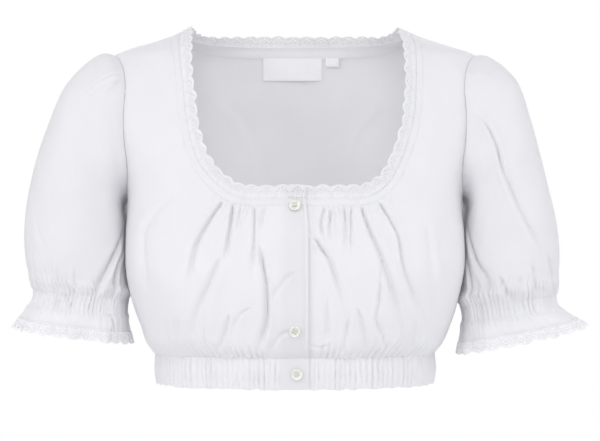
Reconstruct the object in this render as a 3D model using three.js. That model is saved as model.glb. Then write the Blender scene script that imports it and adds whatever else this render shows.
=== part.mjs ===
// A dirndl blouse, hollow and in the pose of wear: two gathered fronts that button at the middle, a back,
// two puff sleeves that end in an elastic line and a ruffle, an elastic waistband, eyelet lace round the neck
// and the ruffles, three buttons, and the facing, label and size tab that show inside the back neck.
// Millimetres, +Z up. The front faces -Y and the wearer's left is +X. The origin lies midway between the
// shoulders, at the height of the lace beside the neck.
import * as THREE from "three";

// Driving dimensions
const CLOTH = 1.2; // wall of cloth
const SEAM_GAP = 0.4; // between two pieces at a seam
const WAIST_Z = -322; // seam between body and waistband
const HEM_Z = -352; // lower edge of the waistband
const UNDERARM_Z = -168;
const SHOULDER_POINT_Z = -26; // outer end of the shoulder seam
const FRONT_OVERLAP = 13; // each front passes the middle by this much
const UNDERLAP_STEP = CLOTH + 0.5; // how far the lower front lies behind the upper one
const LACE_WIDTH = 11.5; // neck lace, measured to the valleys of its scallops
const CUFF_LACE_WIDTH = 10;
const SCALLOP_DEPTH = 2.5;
const SCALLOP_PITCH = 15;
const FACING_WIDTH = 11.5;
const WAIST_GATHERS = 110;
const WAIST_GATHER_HEIGHT = 0.9;
const SLEEVE_GATHERS = 24;
const SLEEVE_GATHER_HEIGHT = 1;
const CAP_GATHER_HEIGHT = 0.9;
const RUFFLE_WAVES = 8;
const RUFFLE_WAVE_HEIGHT = 4;
const BUTTON_DIAMETER = 11.5;
const BUTTON_THICKNESS = 2.4;
const BUTTONS = [
  { name: "button_top", x: 0, z: -176.2 },
  { name: "button_middle", x: 0, z: -295.5 },
  { name: "button_bottom", x: 2, z: -337 },
];
const LABELS = [
  { name: "label_main", x: -2.8, width: 61, height: 24.5 },
  { name: "label_size", x: 38.6, width: 13.5, height: 9.5 },
];

// Level rings of the body: half width at the side seams, and reach of the front and back from them
const RINGS = [
  { z: 2, width: 98, front: 6, back: 45, front_power: 2.2, back_power: 2.5 },
  { z: -3.5, width: 115, front: 17, back: 58, front_power: 2.2, back_power: 2.5 },
  { z: -8, width: 128, front: 27, back: 68, front_power: 2.2, back_power: 2.5 },
  { z: -13, width: 143.5, front: 36, back: 75, front_power: 2.2, back_power: 2.5 },
  { z: -20, width: 166, front: 45.5, back: 80.5, front_power: 2.2, back_power: 2.45 },
  { z: -26, width: 180, front: 51, back: 85, front_power: 2.2, back_power: 2.4 },
  { z: -34, width: 185, front: 57.5, back: 89, front_power: 2.2, back_power: 2.35 },
  { z: -45, width: 187.5, front: 65.5, back: 93.5, front_power: 2.2, back_power: 2.3 },
  { z: -60, width: 188, front: 75, back: 98, front_power: 2.2, back_power: 2.3 },
  { z: -85, width: 187, front: 89, back: 104, front_power: 2.2, back_power: 2.3 },
  { z: -110, width: 180, front: 100, back: 108, front_power: 2.25, back_power: 2.3 },
  { z: -140, width: 170, front: 108, back: 110, front_power: 2.3, back_power: 2.3 },
  { z: -170, width: 165, front: 113, back: 110, front_power: 2.3, back_power: 2.3 },
  { z: -205, width: 166.5, front: 124, back: 110, front_power: 2.3, back_power: 2.3 },
  { z: -240, width: 166.5, front: 130, back: 109, front_power: 2.3, back_power: 2.3 },
  { z: -275, width: 159.5, front: 126, back: 107, front_power: 2.25, back_power: 2.25 },
  { z: -300, width: 151, front: 118, back: 104, front_power: 2.2, back_power: 2.2 },
  { z: -313, width: 144.5, front: 112, back: 101.5, front_power: 2.2, back_power: 2.2 },
  { z: -322, width: 139.5, front: 106.5, back: 98.5, front_power: 2.2, back_power: 2.2 },
  { z: -337, width: 139, front: 106, back: 98.2, front_power: 2.2, back_power: 2.2 },
  { z: -352, width: 138.5, front: 105.5, back: 98, front_power: 2.2, back_power: 2.2 },
];

// Half necklines from the middle to the shoulder seam. The front one sits a little to the wearer's left.
const FRONT_NECK = [
  { right: 0, left: 0, z: -170 },
  { right: 30, left: 42, z: -170.5 },
  { right: 55, left: 70, z: -168.5 },
  { right: 74, left: 88, z: -157 },
  { right: 90, left: 99.5, z: -138 },
  { right: 99, left: 108, z: -117 },
  { right: 105, left: 115, z: -90 },
  { right: 110, left: 118.5, z: -51 },
  { right: 114, left: 118.5, z: -20 },
  { right: 115, left: 115, z: -3.5 },
];
const BACK_NECK = [
  { x: 0, z: -12 },
  { x: 55, z: -11.7 },
  { x: 88, z: -10.4 },
  { x: 103, z: -8 },
  { x: 111, z: -5.6 },
  { x: 115, z: -3.5 },
];
const NECK_CORNER = 3; // the row of both tables where the strap begins

// How far the neck lace stands out from the body's surface, in degrees, or leans in below zero. Share runs
// along the lace from the middle of the front to the middle of the back.
const LACE_LIFT = [
  { share: 0, degrees: 0 },
  { share: 0.1, degrees: 0 },
  { share: 0.17, degrees: 24 },
  { share: 0.24, degrees: 50 },
  { share: 0.5, degrees: 46 },
  { share: 0.62, degrees: 24 },
  { share: 0.72, degrees: 0 },
  { share: 0.82, degrees: -12 },
  { share: 1, degrees: -18 },
];

// Armhole, seen from the side: its reach from the seams, and how much fuller it is low down
const ARMHOLE = { front: 41, back: 57, low_fullness: 0.18 };
const ARMHOLE_STEPS = 8; // sides of half its outline
const BACK_STRAP_STEPS = 3; // of those, beside the strap of the back

// Folds of the body as troughs, seen from the front. The wearer's left side of a trough stands up, or
// with lift -1 the right side.
const RIGHT_FRONT_FOLDS = [
  { top_x: -66, top_z: -172, mid_x: -92, mid_z: -208, foot_x: -98, foot_z: -255, width: 7, depth: 3.4 },
  { top_x: -72, top_z: -228, mid_x: -90, mid_z: -270, foot_x: -102, foot_z: -318, width: 8, depth: 2.6, lift: -1 },
  { top_x: -56, top_z: -172, mid_x: -64, mid_z: -205, foot_x: -68, foot_z: -238, width: 6, depth: 3 },
  { top_x: -35, top_z: -172, mid_x: -38, mid_z: -200, foot_x: -39, foot_z: -234, width: 6, depth: 2.6, lift: -1 },
  { top_x: -31, top_z: -218, mid_x: -28, mid_z: -265, foot_x: -36, foot_z: -320, width: 6.5, depth: 4.4, lift: -1 },
  { top_x: -61, top_z: -252, mid_x: -63, mid_z: -286, foot_x: -75, foot_z: -318, width: 7, depth: 2.8 },
  { top_x: -122, top_z: -176, mid_x: -144, mid_z: -212, foot_x: -136, foot_z: -285, width: 10, depth: 2, lift: -1 },
];
const LEFT_FRONT_FOLDS = [
  { top_x: 37, top_z: -172, mid_x: 32, mid_z: -194, foot_x: 31, foot_z: -222, width: 6, depth: 3, lift: -1 },
  { top_x: 28, top_z: -216, mid_x: 42, mid_z: -253, foot_x: 53, foot_z: -284, width: 6.5, depth: 3.4, lift: -1 },
  { top_x: 51, top_z: -172, mid_x: 53, mid_z: -200, foot_x: 54, foot_z: -232, width: 6, depth: 2.4 },
  { top_x: 62, top_z: -172, mid_x: 90, mid_z: -254, foot_x: 108, foot_z: -318, width: 7, depth: 3.8 },
  { top_x: 77, top_z: -168, mid_x: 101, mid_z: -224, foot_x: 121, foot_z: -292, width: 7, depth: 3.2, lift: -1 },
  { top_x: 80, top_z: -226, mid_x: 77, mid_z: -272, foot_x: 85, foot_z: -312, width: 7, depth: 2.6, lift: -1 },
  { top_x: 55, top_z: -272, mid_x: 58, mid_z: -296, foot_x: 62, foot_z: -320, width: 6.5, depth: 2.4 },
  { top_x: 124, top_z: -192, mid_x: 130, mid_z: -240, foot_x: 131, foot_z: -290, width: 9, depth: 2.2 },
];
const BACK_FOLDS = [
  { top_x: -96, top_z: -208, mid_x: -92, mid_z: -262, foot_x: -84, foot_z: -320, width: 10, depth: 2.8 },
  { top_x: -52, top_z: -238, mid_x: -46, mid_z: -280, foot_x: -44, foot_z: -320, width: 9, depth: 2.6, lift: -1 },
  { top_x: -6, top_z: -222, mid_x: -2, mid_z: -272, foot_x: 4, foot_z: -320, width: 9, depth: 2.4 },
  { top_x: 44, top_z: -246, mid_x: 40, mid_z: -284, foot_x: 42, foot_z: -320, width: 9, depth: 2.4 },
  { top_x: 88, top_z: -214, mid_x: 84, mid_z: -266, foot_x: 78, foot_z: -320, width: 10, depth: 2.8, lift: -1 },
];

// Sections of the sleeves, for the left one at +X. Each is an oval between an outer and an inner point, with
// its reach to the front and back; share is its place along the sleeve, 1 at the edge of the lace.
const RIGHT_SLEEVE = [
  { share: 0, outer_x: 180, outer_z: -26, inner_x: 165, inner_z: -168, front: 41, back: 57 },
  { share: 0.05, outer_x: 194, outer_z: -26, inner_x: 168, inner_z: -171, front: 49, back: 61 },
  { share: 0.11, outer_x: 210, outer_z: -36, inner_x: 170, inner_z: -176, front: 56, back: 66 },
  { share: 0.19, outer_x: 229, outer_z: -57, inner_x: 171, inner_z: -186, front: 61, back: 70 },
  { share: 0.3, outer_x: 244, outer_z: -90, inner_x: 171, inner_z: -199, front: 63, back: 73 },
  { share: 0.42, outer_x: 256, outer_z: -124, inner_x: 171, inner_z: -213, front: 63, back: 74 },
  { share: 0.54, outer_x: 265, outer_z: -163, inner_x: 170, inner_z: -227, front: 62, back: 73 },
  { share: 0.65, outer_x: 269, outer_z: -196, inner_x: 169.5, inner_z: -240, front: 60, back: 70 },
  { share: 0.75, outer_x: 268, outer_z: -228, inner_x: 168.5, inner_z: -252, front: 55, back: 63 },
  { share: 0.83, outer_x: 261.5, outer_z: -253, inner_x: 168, inner_z: -262, front: 48, back: 53 },
  { share: 0.88, outer_x: 262, outer_z: -267, inner_x: 168, inner_z: -277, front: 48, back: 53 },
  { share: 0.91, outer_x: 267, outer_z: -276, inner_x: 167.5, inner_z: -287, front: 51, back: 56 },
  { share: 0.96, outer_x: 273, outer_z: -287, inner_x: 167, inner_z: -300, front: 56, back: 60 },
  { share: 1, outer_x: 277, outer_z: -296, inner_x: 166, inner_z: -311, front: 59, back: 63 },
];
const LEFT_SLEEVE = [
  { share: 0, outer_x: 180, outer_z: -26, inner_x: 165, inner_z: -168, front: 41, back: 57 },
  { share: 0.05, outer_x: 194, outer_z: -29, inner_x: 168, inner_z: -171, front: 49, back: 61 },
  { share: 0.11, outer_x: 208, outer_z: -37, inner_x: 170, inner_z: -176, front: 55, back: 66 },
  { share: 0.19, outer_x: 222.5, outer_z: -53, inner_x: 171, inner_z: -187, front: 59, back: 70 },
  { share: 0.3, outer_x: 233, outer_z: -84, inner_x: 170.5, inner_z: -201, front: 61, back: 73 },
  { share: 0.42, outer_x: 242.5, outer_z: -118, inner_x: 170, inner_z: -215, front: 61, back: 74 },
  { share: 0.54, outer_x: 252, outer_z: -155, inner_x: 169.5, inner_z: -230, front: 60, back: 73 },
  { share: 0.65, outer_x: 260, outer_z: -190, inner_x: 169, inner_z: -244, front: 58, back: 70 },
  { share: 0.75, outer_x: 263.5, outer_z: -227, inner_x: 168, inner_z: -257, front: 54, back: 64 },
  { share: 0.83, outer_x: 260, outer_z: -258, inner_x: 166, inner_z: -269, front: 48, back: 53 },
  { share: 0.88, outer_x: 262, outer_z: -272, inner_x: 167, inner_z: -285, front: 48, back: 53 },
  { share: 0.91, outer_x: 268, outer_z: -279, inner_x: 166.5, inner_z: -295, front: 52, back: 57 },
  { share: 0.96, outer_x: 280, outer_z: -288, inner_x: 166, inner_z: -310, front: 57, back: 61 },
  { share: 1, outer_x: 286, outer_z: -293, inner_x: 165, inner_z: -321, front: 60, back: 64 },
];
const ELASTIC = { top: 0.83, foot: 0.88 }; // shares of the elastic line's upper and lower edge
const RUFFLE_HEM = 0.96; // share where the cloth of the ruffle ends and its lace begins
const SLEEVE_CLEARANCE = 1.2; // between a sleeve and the body beside it
const SLEEVE_HEAD = 0.25; // share where the sleeve has left the armhole's outline
const SLEEVE_GATHERS_START = 0.66; // share
const RUFFLE_GATHERS = { height: 0.25, fade: 0.06 }; // what is left of the gathers below the elastic line
const CAP_GATHERS = { start: 0.03, end: 0.22, fade: 0.14, turn: 0.17, turn_fade: 0.06 };

// Long folds of the sleeves; turn is 0 on top, 0.25 in front, 0.5 at the underarm and 0.75 behind
const RIGHT_SLEEVE_FOLDS = [
  { top_turn: 0.4, top_share: 0.24, foot_turn: 0.285, foot_share: 0.82, width: 0.022, depth: 4.2 },
  { top_turn: 0.43, top_share: 0.48, foot_turn: 0.345, foot_share: 0.82, width: 0.02, depth: 3.4 },
  { top_turn: 0.13, top_share: 0.42, foot_turn: 0.08, foot_share: 0.76, width: 0.024, depth: 2 },
  { top_turn: 0.8, top_share: 0.26, foot_turn: 0.87, foot_share: 0.8, width: 0.024, depth: 3.2 },
  { top_turn: 0.64, top_share: 0.36, foot_turn: 0.71, foot_share: 0.82, width: 0.022, depth: 3.4 },
];
const LEFT_SLEEVE_FOLDS = [
  { top_turn: 0.3, top_share: 0.22, foot_turn: 0.09, foot_share: 0.8, width: 0.024, depth: 3.8 },
  { top_turn: 0.41, top_share: 0.26, foot_turn: 0.29, foot_share: 0.82, width: 0.022, depth: 4 },
  { top_turn: 0.78, top_share: 0.3, foot_turn: 0.85, foot_share: 0.8, width: 0.024, depth: 3.2 },
  { top_turn: 0.63, top_share: 0.4, foot_turn: 0.7, foot_share: 0.82, width: 0.022, depth: 3.4 },
];
const SLEEVE_FOLD_FADE = 0.15; // of a fold's length, at each end

// Cross-section of all folds: a ridge beside the trough, in the trough's depth and widths
const RIDGE = { height: 0.55, place: 1.9, width: 1.2 };
// Where the folds of the body fade out, so that panels still meet at their seams
const FOLD_FADE = { top: 10, foot: 14, waist: 8, middle: 10, side_x: 150, side: 12, yoke_z: -166, yoke: 16 };
// How the step of the lower front and the gathers of the band fade out from the upper front's edge
const UNDERLAP_FADE = { start: 1.5, length: 7 };
const PLACKET_FADE = { start: 1, length: 8 };
const BAND_END = 0.4; // of a gather, kept plain at each end of a band

// Half section of a button, in its radius and thickness
const BUTTON_SECTION = [
  { out: 0, up: 0 },
  { out: 0.72, up: 0 },
  { out: 1, up: 0.45 },
  { out: 0.96, up: 0.85 },
  { out: 0.84, up: 1 },
  { out: 0.62, up: 0.72 },
  { out: 0, up: 0.66 },
];

// Inside the back neck
const FACING_CLOTH = 1;
const FACING_END = 1; // left plain at each end of the back's neckline

// Mesh steps
const FRONT_COLUMNS = 28;
const FRONT_CORNER_COLUMN = 17;
const FRONT_ROWS = 8; // up to the underarm
const BACK_COLUMNS = 16; // of one half
const BACK_CORNER_COLUMN = 10;
const BACK_ROWS = 6; // up to the underarm
const SLEEVE_COLUMNS = SLEEVE_GATHERS * 2;
const CAP_ROWS = [0, 0.04, 0.1, 0.18, 0.29, 0.42, 0.55, 0.67, 0.76]; // shares
const SLEEVE_ROWS = [...CAP_ROWS, ELASTIC.top, ELASTIC.foot, 0.915, RUFFLE_HEM];
const COLUMNS_PER_SCALLOP = 3;
const LABEL_COLUMNS = 4;
const BUTTON_SIDES = 20;

// Colours from the photo
const COTTON = { color: 0xf1f1f8, roughness: 0.85, metalness: 0 };
const LACE = { color: 0xf4f4f8, roughness: 0.9, metalness: 0 };
const SHELL = { color: 0xf3f3ea, roughness: 0.25, metalness: 0 };
const SATIN = { color: 0xf2f2f7, roughness: 0.5, metalness: 0 };

const HALF_TURN = Math.PI;
const FULL_TURN = 2 * Math.PI;
const mix = (a, b, t) => a + (b - a) * t;
const clamp = (t, low = 0, high = 1) => Math.min(high, Math.max(low, t));
const smooth = (t) => clamp(t) ** 2 * (3 - 2 * clamp(t));
const mixPlace = (p, q, t) => ({ angle: mix(p.angle, q.angle, t), z: mix(p.z, q.z, t) });

// The value of a named column of a table at a place along its key, on a smooth curve through the rows
function column(table, key, name, at) {
  const sign = table[table.length - 1][key] > table[0][key] ? 1 : -1;
  let i = 0;
  while (i < table.length - 2 && (at - table[i + 1][key]) * sign > 0) i++;
  const [p, q] = [table[i], table[i + 1]];
  const slope = (k) => {
    const low = table[Math.max(0, k - 1)];
    const high = table[Math.min(table.length - 1, k + 1)];
    return (high[name] - low[name]) / (high[key] - low[key]);
  };
  const span = q[key] - p[key];
  const t = clamp((at - p[key]) / span);
  const [t2, t3] = [t * t, t * t * t];
  return (
    (2 * t3 - 3 * t2 + 1) * p[name] +
    (t3 - 2 * t2 + t) * span * slope(i) +
    (3 * t2 - 2 * t3) * q[name] +
    (t3 - t2) * span * slope(i + 1)
  );
}

// The body's outer surface: angle 0 is the middle of the front, a quarter turn the wearer's left side seam
function torso({ angle, z }) {
  const face = Math.cos(angle) > 0 ? "front" : "back";
  const power = column(RINGS, "z", face + "_power", z);
  const across = Math.abs(Math.sin(angle)) / column(RINGS, "z", "width", z);
  const deep = Math.abs(Math.cos(angle)) / column(RINGS, "z", face, z);
  const radius = (across ** power + deep ** power) ** (-1 / power);
  return new THREE.Vector3(radius * Math.sin(angle), -radius * Math.cos(angle), z);
}

// The body angle of a point on one face, given by its distance across from the middle
function angleAcross(x, z, face) {
  const power = column(RINGS, "z", face + "_power", z);
  const share = clamp(Math.abs(x) / column(RINGS, "z", "width", z));
  const deep = column(RINGS, "z", face, z) * (1 - share ** power) ** (1 / power);
  const angle = Math.atan2(Math.abs(x), deep);
  return Math.sign(x || 1) * (face === "front" ? angle : HALF_TURN - angle);
}

// The body's half width at a given depth
function halfWidthAt(y, z) {
  const face = y < 0 ? "front" : "back";
  const power = column(RINGS, "z", face + "_power", z);
  const share = clamp(Math.abs(y) / column(RINGS, "z", face, z));
  return column(RINGS, "z", "width", z) * (1 - share ** power) ** (1 / power);
}

// The edge of the front at the side and shoulder seams; the edge of the back is its mirror image
const seamAngle = (z) => HALF_TURN / 2 - Math.asin(SEAM_GAP / 2 / column(RINGS, "z", "width", z));

// Places along a neckline between two rows of its table, evenly spaced
function neckCurve(table, face, from, to, steps) {
  const samples = 200;
  const rows = table.map((row, i) => ({ i, ...row }));
  const fine = Array.from({ length: samples + 1 }, (_, k) => {
    const i = mix(from, to, k / samples);
    const [x, z] = [column(rows, "i", "x", i), column(rows, "i", "z", i)];
    const angle = angleAcross(x, z, face);
    const seam = seamAngle(z);
    return { angle: face === "front" ? Math.min(angle, seam) : Math.max(angle, HALF_TURN - seam), z };
  });
  const lengths = [0];
  for (let k = 1; k <= samples; k++)
    lengths.push(lengths[k - 1] + torso(fine[k]).distanceTo(torso(fine[k - 1])));
  return Array.from({ length: steps + 1 }, (_, s) => {
    const at = (lengths[samples] * s) / steps;
    const k = clamp(lengths.findIndex((l) => l >= at - 1e-9), 1, samples);
    return mixPlace(fine[k - 1], fine[k], (at - lengths[k - 1]) / (lengths[k] - lengths[k - 1]));
  });
}

// A corner of the armhole's outline: step 0 is the shoulder point, the last step the underarm
function armholeCorner(step, face) {
  const swing = (HALF_TURN * step) / ARMHOLE_STEPS;
  const z = mix(SHOULDER_POINT_Z, UNDERARM_Z, (1 - Math.cos(swing)) / 2);
  const reach = ARMHOLE[face] * Math.sin(swing) * (1 - ARMHOLE.low_fullness * Math.cos(swing));
  const y = Math.max(reach, SEAM_GAP / 2);
  const angle = Math.atan2(halfWidthAt(face === "front" ? -y : y, z), y);
  return { angle: face === "front" ? angle : HALF_TURN - angle, z };
}

// A point on the armhole's outline between its corners; turn is 0 on top and 0.25 in front
function armholePoint(turn) {
  const face = turn <= 0.5 ? "front" : "back";
  const along = 2 * ARMHOLE_STEPS * Math.min(turn, 1 - turn);
  const step = Math.min(Math.floor(along), ARMHOLE_STEPS - 1);
  const [a, b] = [armholeCorner(step, face), armholeCorner(step + 1, face)];
  return torso(a).lerp(torso(b), along - step);
}

// Height of a fold at a distance from its line, counted in its width; the ridge is on the side of lift
function foldSection(away, lift = 1) {
  const ridge = RIDGE.height * Math.exp(-(((away - RIDGE.place * lift) / RIDGE.width) ** 2));
  return ridge - Math.exp(-(away ** 2));
}

// How far a set of folds moves the cloth out, or in below zero, at a point seen from the front
function foldHeight(folds, x, z) {
  return folds.reduce((sum, f) => {
    if (z > f.top_z + FOLD_FADE.top || z < f.foot_z - FOLD_FADE.foot) return sum;
    const path = [
      { z: f.top_z, x: f.top_x },
      { z: f.mid_z, x: f.mid_x },
      { z: f.foot_z, x: f.foot_x },
    ];
    const away = (x - column(path, "z", "x", z)) / f.width;
    const begun = smooth((f.top_z - z) / FOLD_FADE.top + 1);
    const left = smooth((z - f.foot_z) / FOLD_FADE.foot + 1);
    return sum + f.depth * begun * left * foldSection(away, f.lift);
  }, 0);
}

// Quads over a grid of columns and rows, of which some cells may be left out
function gridMesh(columns, rows, place, { keep = () => true, closed = false } = {}) {
  const points = [];
  const numbers = new Map();
  const at = (i, j) => {
    const key = (closed ? i % columns : i) + "," + j;
    if (!numbers.has(key)) numbers.set(key, points.push(place(closed ? i % columns : i, j)) - 1);
    return numbers.get(key);
  };
  const quads = [];
  for (let j = 0; j < rows; j++)
    for (let i = 0; i < columns; i++)
      if (keep(i, j)) quads.push([at(i, j), at(i + 1, j), at(i + 1, j + 1), at(i, j + 1)]);
  return { points, quads, at };
}

// The direction out of the mesh at each point. At the side and shoulder seams it is level with the seam.
function normalsOf({ points, quads }) {
  const normals = points.map(() => new THREE.Vector3());
  for (const q of quads) {
    const [a, b, c, d] = q.map((i) => points[i]);
    const face = new THREE.Vector3().subVectors(c, a).cross(new THREE.Vector3().subVectors(d, b));
    q.forEach((i) => normals[i].add(face));
  }
  return normals.map((n, i) => (Math.abs(points[i].y) < SEAM_GAP ? n.setY(0) : n).normalize());
}

// The mesh with each point moved out by a distance that may depend on the point
function moved(mesh, distance) {
  const normals = normalsOf(mesh);
  return { ...mesh, points: mesh.points.map((p, i) => p.clone().addScaledVector(normals[i], distance(p))) };
}

// The mesh reflected to the other side of the body where side is -1
function onSide(mesh, side) {
  if (side > 0) return mesh;
  const points = mesh.points.map((p) => new THREE.Vector3(-p.x, p.y, p.z));
  return { ...mesh, points, quads: mesh.quads.map((q) => [...q].reverse()) };
}

// A closed wall: the mesh as its outer face, the same face moved in by the thickness, and the rims
function wall(mesh, thickness = CLOTH) {
  const count = mesh.points.length;
  const all = [...mesh.points, ...moved(mesh, () => -thickness).points];
  const faces = [];
  const rims = new Map();
  for (const q of mesh.quads) {
    const [a, b, c, d] = q;
    faces.push(a, b, c, a, c, d);
    faces.push(c + count, b + count, a + count, d + count, c + count, a + count);
    q.forEach((v, k) => {
      const w = q[(k + 1) % 4];
      if (!rims.delete(w + "," + v)) rims.set(v + "," + w, [v, w]);
    });
  }
  for (const [v, w] of rims.values()) faces.push(w, v, v + count, w, v + count, w + count);
  const geometry = new THREE.BufferGeometry();
  geometry.setAttribute("position", new THREE.Float32BufferAttribute(all.flatMap((p) => p.toArray()), 3));
  geometry.setIndex(faces);
  return geometry;
}

// How far the lower front is set back beside the middle, so that the upper one lies on it
const underlap = (x) =>
  -UNDERLAP_STEP * (1 - smooth((x - FRONT_OVERLAP - UNDERLAP_FADE.start) / UNDERLAP_FADE.length));

// How much of a fold is left near the side seams and the waist
const fromSeams = ({ x, z }) =>
  smooth((FOLD_FADE.side_x - Math.abs(x)) / FOLD_FADE.side) * smooth((z - WAIST_Z) / FOLD_FADE.waist);

// One front. The wearer's left, side 1, lies below; the right, side -1, is the same form reflected.
function frontPanel(side) {
  const [name, folds] = side > 0 ? ["left", LEFT_FRONT_FOLDS] : ["right", RIGHT_FRONT_FOLDS];
  const table = FRONT_NECK.map((row, i) => ({ x: i ? row[name] : -FRONT_OVERLAP, z: row.z }));
  const low = neckCurve(table, "front", 0, NECK_CORNER, FRONT_CORNER_COLUMN);
  const strap = neckCurve(table, "front", NECK_CORNER, table.length - 1, ARMHOLE_STEPS);
  const footZ = WAIST_Z + SEAM_GAP / 2;
  const footEdge = angleAcross(-FRONT_OVERLAP, footZ, "front");

  function place(i, j) {
    const beyond = (i - FRONT_CORNER_COLUMN) / (FRONT_COLUMNS - FRONT_CORNER_COLUMN);
    if (j > FRONT_ROWS) {
      const step = j - FRONT_ROWS;
      return torso(mixPlace(strap[step], armholeCorner(ARMHOLE_STEPS - step, "front"), beyond));
    }
    const foot = { angle: mix(footEdge, seamAngle(footZ), i / FRONT_COLUMNS), z: footZ };
    const top = beyond <= 0 ? low[i] : mixPlace(strap[0], armholeCorner(ARMHOLE_STEPS, "front"), beyond);
    const { angle, z } = mixPlace(foot, top, j / FRONT_ROWS);
    if (i === 0) return torso({ angle: angleAcross(-FRONT_OVERLAP, z, "front"), z });
    return torso({ angle: i === FRONT_COLUMNS ? seamAngle(z) : angle, z });
  }

  const keep = (i, j) => j < FRONT_ROWS || i >= FRONT_CORNER_COLUMN;
  const plain = gridMesh(FRONT_COLUMNS, FRONT_ROWS + ARMHOLE_STEPS, place, { keep });
  const mesh = moved(plain, (p) => {
    const fromMiddle = smooth((p.x - FRONT_OVERLAP) / FOLD_FADE.middle);
    const fromYoke = smooth((FOLD_FADE.yoke_z - p.z) / FOLD_FADE.yoke);
    const fold = foldHeight(folds, side * p.x, p.z) * fromMiddle * fromYoke * fromSeams(p);
    return fold + (side > 0 ? underlap(p.x) : 0);
  });
  const neck = low.map((_, i) => mesh.at(i, FRONT_ROWS));
  for (let step = 1; step <= ARMHOLE_STEPS; step++)
    neck.push(mesh.at(FRONT_CORNER_COLUMN, FRONT_ROWS + step));
  return { ...onSide(mesh, side), neck };
}

// The back, in one piece from side seam to side seam
function backPanel() {
  const low = neckCurve(BACK_NECK, "back", 0, NECK_CORNER, BACK_CORNER_COLUMN);
  const strap = neckCurve(BACK_NECK, "back", NECK_CORNER, BACK_NECK.length - 1, BACK_STRAP_STEPS);
  const bodySteps = ARMHOLE_STEPS - BACK_STRAP_STEPS; // of the armhole's outline, below the strap
  const topRow = BACK_ROWS + bodySteps;
  const footZ = WAIST_Z + SEAM_GAP / 2;
  const level = (i, z) => ({ angle: mix(HALF_TURN, HALF_TURN - seamAngle(z), i / BACK_COLUMNS), z });

  // Columns are counted here from the middle of the back to the wearer's left
  function half(i, j) {
    const beyond = (i - BACK_CORNER_COLUMN) / (BACK_COLUMNS - BACK_CORNER_COLUMN);
    if (j > topRow) {
      const step = j - topRow;
      return torso(mixPlace(strap[step], armholeCorner(BACK_STRAP_STEPS - step, "back"), beyond));
    }
    if (j <= BACK_ROWS) return torso(level(i, mix(footZ, UNDERARM_Z, j / BACK_ROWS)));
    const rise = (j - BACK_ROWS) / bodySteps;
    const corner = armholeCorner(BACK_STRAP_STEPS, "back");
    const top = beyond <= 0 ? low[i] : mixPlace(strap[0], corner, beyond);
    const plain = mixPlace(level(i, UNDERARM_Z), top, rise);
    const edge = armholeCorner(ARMHOLE_STEPS - (j - BACK_ROWS), "back");
    const plainEdge = mixPlace(level(BACK_COLUMNS, UNDERARM_Z), corner, rise);
    const pull = (i / BACK_COLUMNS) ** 2; // bends the columns near the armhole to its outline
    const angle = plain.angle + pull * (edge.angle - plainEdge.angle);
    return torso({ angle, z: plain.z + pull * (edge.z - plainEdge.z) });
  }

  const place = (i, j) => {
    const p = half(Math.abs(i - BACK_COLUMNS), j);
    return i > BACK_COLUMNS ? p.setX(-p.x) : p;
  };
  const acrossCell = (i) => (i < BACK_COLUMNS ? BACK_COLUMNS - 1 - i : i - BACK_COLUMNS);
  const keep = (i, j) => j < topRow || acrossCell(i) >= BACK_CORNER_COLUMN;
  const plain = gridMesh(2 * BACK_COLUMNS, topRow + BACK_STRAP_STEPS, place, { keep });
  const mesh = moved(plain, (p) => foldHeight(BACK_FOLDS, p.x, p.z) * fromSeams(p));
  const [leftEnd, rightEnd] = [BACK_COLUMNS - BACK_CORNER_COLUMN, BACK_COLUMNS + BACK_CORNER_COLUMN];
  const neck = [];
  for (let step = BACK_STRAP_STEPS; step > 0; step--) neck.push(mesh.at(rightEnd, topRow + step));
  for (let i = rightEnd; i >= leftEnd; i--) neck.push(mesh.at(i, topRow));
  for (let step = 1; step <= BACK_STRAP_STEPS; step++) neck.push(mesh.at(leftEnd, topRow + step));
  const lineAt = (j) => {
    const line = [];
    for (let i = rightEnd; i >= leftEnd; i--) line.push(mesh.points[mesh.at(i, j)]);
    return line;
  };
  return { ...mesh, neck, edge: lineAt(topRow), below: lineAt(topRow - 1) };
}

// The lace round the neck, one strip from the right front's edge round the back to the left front's edge.
// It stands on the panels' own edge and runs on in their direction.
function neckLace(right, back, left) {
  const stations = [];
  for (const panel of [right, back, left]) {
    const normals = normalsOf(panel);
    const chain = panel === left ? [...panel.neck].reverse() : panel.neck;
    const own = panel === right ? chain : chain.slice(1);
    for (const i of own) stations.push({ point: panel.points[i], normal: normals[i] });
  }
  const lengths = [0];
  for (let k = 1; k < stations.length; k++)
    lengths.push(lengths[k - 1] + stations[k].point.distanceTo(stations[k - 1].point));
  const total = lengths[lengths.length - 1];
  stations.forEach((s, k) => {
    const next = stations[Math.min(k + 1, stations.length - 1)].point;
    const along = new THREE.Vector3().subVectors(next, stations[Math.max(k - 1, 0)].point);
    const share = (2 * Math.min(lengths[k], total - lengths[k])) / total;
    const lift = (column(LACE_LIFT, "share", "degrees", share) * HALF_TURN) / 180;
    s.gap = SEAM_GAP + CLOTH * Math.max(0, Math.sin(-lift));
    s.inward = along.cross(s.normal).normalize().multiplyScalar(Math.cos(lift));
    s.inward.addScaledVector(s.normal, Math.sin(lift));
  });
  const scallops = Math.round(total / SCALLOP_PITCH);
  const columns = scallops * COLUMNS_PER_SCALLOP;
  return gridMesh(columns, 1, (i, j) => {
    const at = Math.min(total, (total * i) / columns); // rounding can carry the last one past the end
    const k = clamp(lengths.findIndex((l) => l >= at), 1, stations.length - 1);
    const t = (at - lengths[k - 1]) / (lengths[k] - lengths[k - 1]);
    const inward = stations[k - 1].inward.clone().lerp(stations[k].inward, t).normalize();
    const gap = mix(stations[k - 1].gap, stations[k].gap, t);
    const reach = j ? LACE_WIDTH + (i % COLUMNS_PER_SCALLOP ? SCALLOP_DEPTH : 0) : gap;
    return stations[k - 1].point.clone().lerp(stations[k].point, t).addScaledVector(inward, reach);
  });
}

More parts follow.
